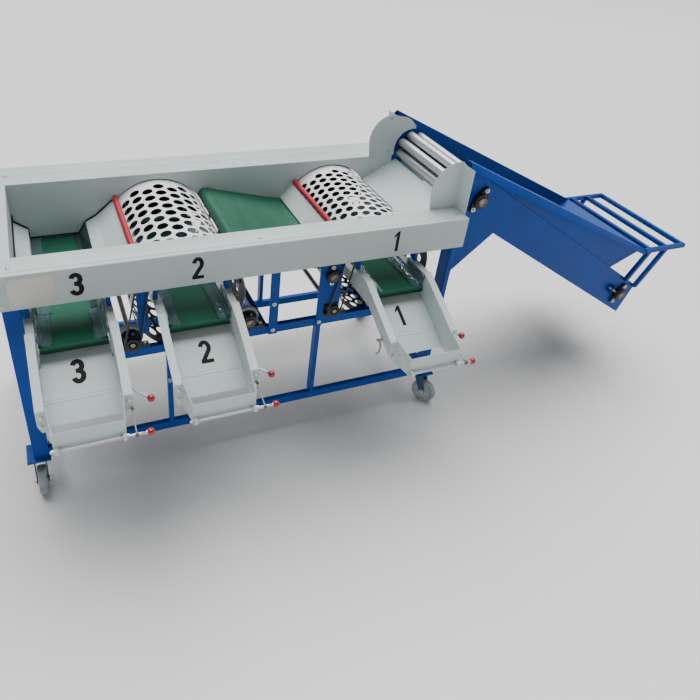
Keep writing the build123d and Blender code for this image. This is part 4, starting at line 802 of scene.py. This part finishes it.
front, rear, dark, bars = bmesh.new(), bmesh.new(), bmesh.new(), bmesh.new()
for number, belt_x in BELTS.items():
    for side in (-1, 1):
        edge = belt_x + side * SKIRT_FROM_AXIS
        skirt(front, edge, side, *FRONT_RUN, FRONT_SKIRT)
        if number == 3:
            skirt(dark if side > 0 else rear, edge, side, *BAY_RUN, BAY_SKIRT[side])
            skirt(rear, edge, side, *OUTLET_RUN, FRONT_SKIRT)
        else:
            skirt(rear, edge, side, *REAR_RUN, REAR_SKIRT)
        inner, outer = sorted((edge - side * 1.6, edge - side * 4.6))
        slab(bars, (inner, -505, 851), (outer, -365, 866), 0.8)
        for y in (-490, -435, -380):
            screw(bars, (edge - side * 4.6, y, 858.5), (-side, 0, 0), 3.4)
piece("skirt_sheets", front, "base", "clear_skirt", stands_for=("belt_skirts",), crease=60)
piece("skirt_sheets_rear", rear, "base", "clear_skirt", crease=60)
# The bay's right skirt is a clear sheet drawn opaque and dark: its colour is painted shade
piece("skirt_sheet_painted_shade", dark, "base", "clear_skirt", skirt_in_painted_shade, crease=60)
piece("skirt_bars", bars, "base", "zinc")


# Shut-off flaps and bag clamps

FLAP_LENGTH = 84
FLAP_WIDTH = 240
CRANK = 25
CRANK_LEAN = radians(48)
for number, x in BELTS.items():
    body = f"flap_{number}"
    top = FLAP[1] + 3
    reach, fall = FLAP_LENGTH * cos(CHUTE), FLAP_LENGTH * sin(CHUTE)
    left = x - FLAP_WIDTH / 2
    sheet = bmesh.new()
    tip, low = FLAP[0] - reach, top - fall
    outline = [(FLAP[0] + 5.9, top + 1.6), (FLAP[0] + 5.7, top + 3.0), (tip + 1, low + 0.6), (tip, low - 0.6),
               (tip + 0.4, low - 1.9), (FLAP[0], top - 1.4)]
    prism(sheet, [(left, y, z) for y, z in outline], (FLAP_WIDTH, 0, 0))
    ring(sheet, [(4.05, 0), (4.5, 0), (4.5, FLAP_WIDTH), (4.05, FLAP_WIDTH)], (left, *FLAP), (1, 0, 0), 18)
    piece(f"flap_sheet_{number}", sheet, body, "pale_paint", stands_for=(f"chute_flap_{number}",))
    lever = bmesh.new()
    knob = Vector((x + 217, FLAP[0] - 65, FLAP[1] - 5.5))
    bend = Vector((x + 158, *FLAP))
    pipe(lever, [(x - 150, *FLAP), bend, knob + (bend - knob).normalized() * 6], 4, 12)
    for start, width in ((x - 132, 5), (x - 151, 8), (x + 127, 6)):
        ring(lever, [(4, 0), (8, 0), (8, width), (4, width)], (start, *FLAP), (1, 0, 0), 6)
    way = (bend - knob).normalized()
    lathe(lever, [(4, 0), (7, 0), (7, 4), (6.2, 5), (4, 5)], knob + way * 12.6, way, 6)
    piece(f"flap_lever_{number}", lever, body, "zinc")

    body = f"clamp_{number}"
    rod = bmesh.new()
    down = (CLAMP[0] + CRANK * cos(CRANK_LEAN), CLAMP[1] - CRANK * sin(CRANK_LEAN))
    pipe(rod, [(x - 124, *CLAMP), (x + 165, *CLAMP), (x + 165, *down), (x + 184, *down)], 5, 9, 16)
    for start in (x - 120, x - 98, x + 90, x + 112):
        ring(rod, [(5, 0), (8.6, 0), (8.6, 6.5), (5, 6.5)], (start, *CLAMP), (1, 0, 0), 6)
    ring(rod, [(5, 0), (8, 0), (8, 4), (5, 4)], (x + 176, *down), (1, 0, 0), 6)
    piece(f"clamp_rod_{number}", rod, body, "zinc", stands_for=(f"bag_clamp_{number}",))

    stay, collar = bmesh.new(), bmesh.new()
    ring(collar, [(5.3, 0), (8.8, 0), (8.8, 10), (5.3, 10)], (x + 138, *CLAMP), (1, 0, 0), 20)
    pipe(stay, [(x + 143, CLAMP[0] + 8, CLAMP[1] + 2), (x + 144, TAB[0] - 30, 683),
                (x + 144, TAB[0] - 7, 690)], 2.4, 8, 10)
    bolt(stay, (x + 146.4, TAB[0] - 7, 690), (1, 0, 0), 7)
    lathe(stay, [(0, 0), (3, 0), (3, 12), (0, 12)], (x + 144, TAB[0] + 1, 690), (0, -1, 0), 12)
    piece(f"clamp_stay_{number}", stay, "base", "zinc", shaft_steel)
    piece(f"clamp_collar_{number}", collar, "base", "zinc", dark_ring)


# Bent hook at the end of the first flap's shaft

bm = bmesh.new()
pipe(bm, [(433, FLAP[0], 684), (440, -652, 686), (446, -653, 676), (452, -653, 646), (451, -652, 625),
          (446, -651, 613), (437, -650, 612)], 4.6, 14, 12, 0.55)
piece("flap_hook", bm, "flap_1", "zinc", shaft_steel)


# Rubber stops on posts, inside the back end of each drum

STOP_R = 206
POST_X = 130
POST_Y = 304.5
for number, (x, z) in enumerate(DRUMS.values(), 1):
    disc, posts = bmesh.new(), bmesh.new()
    turns = [radians(a) for a in range(5, 176, 5)]
    prism(disc, [(x + STOP_R * cos(t), 308, z + STOP_R * sin(t)) for t in turns], (0, 3, 0))
    for side in (-1, 1):
        post_x = x + side * POST_X
        pipe(posts, [(post_x, POST_Y, 829), (post_x, POST_Y, 960)], 3.4, seg=10)
        for height in (850, 900, 950):
            bolt(posts, (post_x, POST_Y - 2.5, height), (0, -1, 0), 7)
    piece(f"drum_stop_{number}", disc, "base", "wheel_rubber", black_rubber_and_gap_shade)
    piece(f"drum_stop_posts_{number}", posts, "base", "zinc")


# Folded-down lips along the hopper's top edges

LIP = [(-0.2, 1.2), (19, 1.0), (25, 0.6), (29, -2.6), (54, -31), (55.5, -33.5), (54, -34.2), (27, -4.4),
       (24, -1.4), (-0.2, -0.8)]
LIP_FOLD = 25
lip_from, lip_to = Vector((925.02, 1290.92)), Vector((2205.86, 689.62))
fall = (lip_to - lip_from).normalized()
rise = Vector((-fall.y, fall.x))
bm = bmesh.new()
for wall, out in ((-330.8, -1), (268.8, 1)):
    loops = []
    for step in range(25):
        at = lip_from + fall * (6 + (lip_from - lip_to).length * 0.99 * step / 24)
        wide = 0.72 + 0.28 * sin(pi * min(1.0, 0.15 + step / 28))
        loop = []
        for reach, up in LIP:
            if reach >= LIP_FOLD:
                reach, up = LIP_FOLD + (reach - LIP_FOLD) * wide, 0.6 + (up - 0.6) * wide
            spot = at + rise * up
            loop.append(bm.verts.new((spot.x, wall + out * reach, spot.y)))
        loops.append(loop)
    skin(bm, loops)
piece("hopper_lips", bm, "base", "blue_paint")


# Thin black rods of painted shade along the gaps where the bay's slides meet the back wall

bm = bmesh.new()
for line in ([(-861, 934), (-859, 908), (-807, 868), (-804.5, 824)], [(-804.5, 822), (-603.5, 822)],
             [(-603.5, 824), (-571, 876), (-527, 900), (-452, 964)]):
    pipe(bm, [(x, 261, z) for x, z in line], 3.4, 6, 8)
pipe(bm, [(-859.5, 262, 934), (-859.5, -320, 934)], 3.4, 6, 8)
piece("bay_gap_shade_rods", bm, "base", "wheel_rubber", black_rubber_and_gap_shade)


# Casters

WHEEL_R = 62.5
TRAIL = 42
PLATE_UNDER = 172
for corner, (x, y, yaw) in CASTERS.items():
    a = radians(yaw)
    trail = Vector((cos(a), sin(a), 0))
    axle = Vector((sin(a), -cos(a), 0))
    hub_at = Vector((x, y, WHEEL_R)) + trail * TRAIL
    tyre, core, steel = bmesh.new(), bmesh.new(), bmesh.new()
    ring(tyre, [(46, -15), (50, -16.6), (56, -17), (60, -15), (62, -11.5), (WHEEL_R, -7), (WHEEL_R, 7),
                (62, 11.5), (60, 15), (56, 17), (50, 16.6), (46, 15)], hub_at, axle, 56)
    ring(core, [(6.1, -19.6), (14, -19.6), (15, -18.6), (15, -14), (18, -11), (40, -9), (43, -12),
                (46.5, -15.4), (46.5, 15.4), (43, 12), (40, 9), (18, 11), (15, 14), (15, 18.6), (14, 19.6),
                (6.1, 19.6)], hub_at, axle, 48)
    first, second = square_to(axle)
    for i in range(6):
        t = pi * i / 3
        way = first * cos(t) + second * sin(t)
        wide = axle.cross(way)
        for face in (-1, 1):
            base = hub_at + axle * face * 9.4
            rib = [base + way * 16 + wide * 3, base + way * 16 - wide * 3, base + way * 42 - wide * 2,
                   base + way * 42 + wide * 2]
            prism(core, rib, axle * face * 2.6)
    piece(f"caster_tyre_{corner}", tyre, f"caster_wheel_{corner}", "wheel_rubber",
          stands_for=(f"caster_wheel_{corner}",))
    piece(f"caster_core_{corner}", core, f"caster_wheel_{corner}", "wheel_rubber", pale_core)
    for face in (-1, 1):
        bolt(steel, hub_at + axle * face * 24, axle * face, 14)
    ring(steel, [(22, 146), (27, 146), (31.5, 150), (32.6, 155), (31.5, 159.5), (22, 159.5)],
         (x, y, 0), (0, 0, 1), 40)
    lathe(steel, [(0, 141), (11, 141), (13, 143), (13, 152), (0, 152)], (x, y, 0), (0, 0, 1), 6)
    piece(f"caster_swivel_{corner}", steel, f"caster_fork_{corner}", "zinc")

bm = bmesh.new()
for x, y, _ in CASTERS.values():
    for dx in (-35, 35):
        for dy in (-42, 42):
            bolt(bm, (x + dx, y + dy, PLATE_UNDER), (0, 0, -1), 9)
piece("caster_bolts", bm, "base", "zinc")


# Gear motors

FINS = 28
BELT_DRIVE = (148, 352, 786.7)


def motor(cast, trim, start, axis, up, radius, length):
    """Finned motor on a flange, with a fan cover; tells where its terminal box goes and the way across it."""
    start, axis, up = Vector(start), Vector(axis).normalized(), Vector(up).normalized()
    wide = axis.cross(up)
    inner = radius * 0.86
    lathe(cast, [(0, 0), (radius, 0), (radius, 7), (inner, 9), (inner, length * 0.70),
                 (radius * 0.97, length * 0.71), (radius * 0.97, length * 0.76), (inner, length * 0.77),
                 (0, length * 0.77)], start, axis, 40)
    for i in range(FINS):
        t = 2 * pi * i / FINS
        way = up * cos(t) + wide * sin(t)
        side = axis.cross(way)
        foot = start + axis * 14 + way * (inner - 1)
        fin = [foot - side * 1.2, foot + side * 1.2, foot + side * 0.7 + way * (radius - inner),
               foot - side * 0.7 + way * (radius - inner)]
        prism(cast, fin, axis * (length * 0.70 - 18))
    lathe(trim, [(inner, length * 0.76), (radius * 0.99, length * 0.77), (radius * 0.99, length * 0.95),
                 (radius * 0.93, length * 0.985), (radius * 0.80, length), (radius * 0.72, length - 1.5),
                 (radius * 0.64, length), (radius * 0.54, length - 1.5), (radius * 0.46, length),
                 (radius * 0.36, length - 1.5), (radius * 0.28, length), (0, length)], start, axis, 40)
    for i in range(4):
        t = pi / 4 + i * pi / 2
        bolt(trim, start + axis * 7 + (up * cos(t) + wide * sin(t)) * radius * 0.9, axis, 6)
    middle = start + axis * length * 0.38
    return middle, wide


BOX_CORNERS = ((1, 0.72), (0.72, 1), (-0.72, 1), (-1, 0.72), (-1, -0.72), (-0.72, -1), (0.72, -1), (1, -0.72))


def terminal_box(cast, middle, axis, out, wide, near, far):
    """Box with cut corners on a motor's side, under a wider lid."""
    axis, out, wide = Vector(axis).normalized(), Vector(out).normalized(), Vector(wide).normalized()
    for half_a, half_w, t0, t1 in ((26, 21, near, far - 5), (28, 23, far - 5, far)):
        corners = [middle + axis * half_a * a + wide * half_w * w + out * t0 for a, w in BOX_CORNERS]
        prism(cast, corners, out * (t1 - t0))


def gear_box(cast, low, high, rib_low, rib_high, middle_z, rib_gap):
    """Rounded box between two corners, with three raised ribs between two places in XY."""
    slab(cast, low, high, 7)
    for dz in (-rib_gap, 0, rib_gap):
        slab(cast, (*rib_low, middle_z + dz - 2), (*rib_high, middle_z + dz + 2), 1)


cast, trim = bmesh.new(), bmesh.new()
for side in ("1l", "2l"):
    x = SUPPORTS[side]
    gear_box(cast, (x - 45, 385, 640), (x + 45, 441, 718), (x - 44.5, 392), (x + 44.5, 441.6), SUPPORT_Z, 22)
    lathe(cast, [(10.2, 440), (24, 440), (24, 443.4), (22, 445), (10.2, 445)],
          (x, 0, SUPPORT_Z), (0, 1, 0), 32)
    for dx in (-37, 37):
        for z in (648, 710):
            bolt(trim, (x + dx, 441, z), (0, 1, 0), 8)
    middle, wide = motor(cast, trim, (x + 45, 413, 699), (1, 0, 0), (0, 0, 1), 39, 180)
    terminal_box(cast, middle, (1, 0, 0), (0, 0, -1), wide, 28, 56)
x, y, z = BELT_DRIVE
gear_box(cast, (x - 28, y - 42, z - 42), (x + 28, y + 42, z + 42), (x - 28.8, y - 34), (x + 28.8, y + 34),
         z, 20)
middle, wide = motor(cast, trim, (x, y, z + 42), (0, 0, 1), (1, 0, 0), 40, 179)
terminal_box(cast, middle, (0, 0, 1), (-1, 0, 0), wide, 30, 58)
slab(cast, (x - 8, 356, 1007), (x + 8, 373, 1028), 1)
x, z = HEAD
gear_box(cast, (x - 45, 306, z - 45), (x + 45, 362, z + 45), (x - 44.5, 312), (x + 44.5, 362.6), z, 24)
lathe(cast, [(12.7, 361), (28, 361), (28, 365), (26, 366.5), (12.7, 366.5)], (x, 0, z), (0, 1, 0), 32)
for dx in (-37, 37):
    for dz in (-37, 37):
        bolt(trim, (x + dx, 362, z + dz), (0, 1, 0), 8)
middle, wide = motor(cast, trim, (x + 45, 334, z - 5), (1, 0, 0), (0, 0, 1), 39, 180)
terminal_box(cast, middle, (1, 0, 0), (0, 0, 1), wide, 28, 60)
piece("motor_castings", cast, "base", "motor_paint", stands_for=("gear_motors",))
piece("motor_trim", trim, "base", "bearing_iron")


# Floor and light

def backdrop(name, low, high):
    """Matt grey that dims with height, so that the rim of the sweep throws little light on the machine."""
    mat = bpy.data.materials.new(name)
    mat.use_nodes = True
    new, join = mat.node_tree.nodes.new, mat.node_tree.links.new
    spot = new("ShaderNodeNewGeometry")
    split = new("ShaderNodeSeparateXYZ")
    fade = new("ShaderNodeMapRange")
    for key, value in zip(("From Min", "From Max", "To Min", "To Max"), (1.5, 12.0, low, high)):
        fade.inputs[key].default_value = value
    bsdf = mat.node_tree.nodes["Principled BSDF"]
    bsdf.inputs["Roughness"].default_value = 0.9
    join(spot.outputs["Position"], split.inputs["Vector"])
    join(split.outputs["Z"], fade.inputs["Value"])
    join(fade.outputs["Result"], bsdf.inputs["Base Color"])
    return mat


# Flat floor, its curve up and its wall, in metres
FLAT_R = 24
CURVE_R = 10
WALL_TOP = 20
FACETS = 96
floor_mesh = bpy.data.meshes.new("floor")
bm = bmesh.new()
curve = [radians(a) for a in range(6, 79, 6)]
sweep = [(FLAT_R, 0)]
sweep += [(FLAT_R + CURVE_R * sin(t), CURVE_R - CURVE_R * cos(t)) for t in curve]
sweep += [(FLAT_R + CURVE_R, WALL_TOP)]
turns = [2 * pi * i / FACETS for i in range(FACETS)]
rings = [[bm.verts.new((r * cos(t), r * sin(t), z)) for t in turns] for r, z in sweep]
bm.faces.new(rings[0])
for inner, outer in zip(rings, rings[1:]):
    for i in range(FACETS):
        j = (i + 1) % FACETS
        bm.faces.new((inner[i], outer[i], outer[j], inner[j]))
for face in bm.faces:
    face.smooth = True
bm.to_mesh(floor_mesh)
bm.free()
floor = link(bpy.data.objects.new("floor", floor_mesh))
floor.data.materials.append(backdrop("floor_pale", 0.74, 0.20))

world = bpy.data.worlds.new("studio")
bpy.context.scene.world = world
world.use_nodes = True
world.node_tree.nodes["Background"].inputs["Color"].default_value = (0.97, 0.985, 1.0, 1)
world.node_tree.nodes["Background"].inputs["Strength"].default_value = 0.20


def area_light(name, place, target, power, size):
    """Soft round lamp aimed at a place, in metres."""
    lamp = bpy.data.lights.new(name, "AREA")
    lamp.energy = power
    lamp.shape = "DISK"
    lamp.size = size
    obj = link(bpy.data.objects.new(name, lamp))
    obj.location = place
    obj.rotation_euler = (Vector(target) - Vector(place)).to_track_quat("-Z", "Y").to_euler()


sky = bpy.data.lights.new("overhead", "SUN")
sky.energy = 5.4
sky.angle = radians(60)
overhead = link(bpy.data.objects.new("overhead", sky))
overhead.rotation_euler = Vector((-0.12, -0.38, -1.0)).to_track_quat("-Z", "Y").to_euler()
area_light("front_fill", (-2.5, -4.0, 3.0), (0.3, 0, 0.6), 8, 3.0)


# Camera of the photograph, fitted to its edges; pixels, degrees and metres

FRAME_PX = 700
FOCAL_PX = 654.5
CENTRE_PX = (315.1, 300.0)
heading = radians(25.90)
dive = radians(34.23)
roll = radians(-6.06)
ahead = Vector((cos(dive) * sin(heading), cos(dive) * cos(heading), -sin(dive)))
level_right = Vector((cos(heading), -sin(heading), 0))
level_down = ahead.cross(level_right)
right = cos(roll) * level_right + sin(roll) * level_down
down = -sin(roll) * level_right + cos(roll) * level_down
lens = bpy.data.cameras.new("camera")
camera = link(bpy.data.objects.new("camera", lens))
turn = Matrix((right, -down, -ahead)).transposed().to_4x4()
camera.matrix_world = Matrix.Translation((-0.733, -2.438, 2.288)) @ turn
lens.sensor_width = 36.0
lens.lens = 36.0 * FOCAL_PX / FRAME_PX
lens.shift_x = (FRAME_PX / 2 - CENTRE_PX[0]) / FRAME_PX
lens.shift_y = (CENTRE_PX[1] - FRAME_PX / 2) / FRAME_PX
lens.clip_end = 100
bpy.context.scene.camera = camera
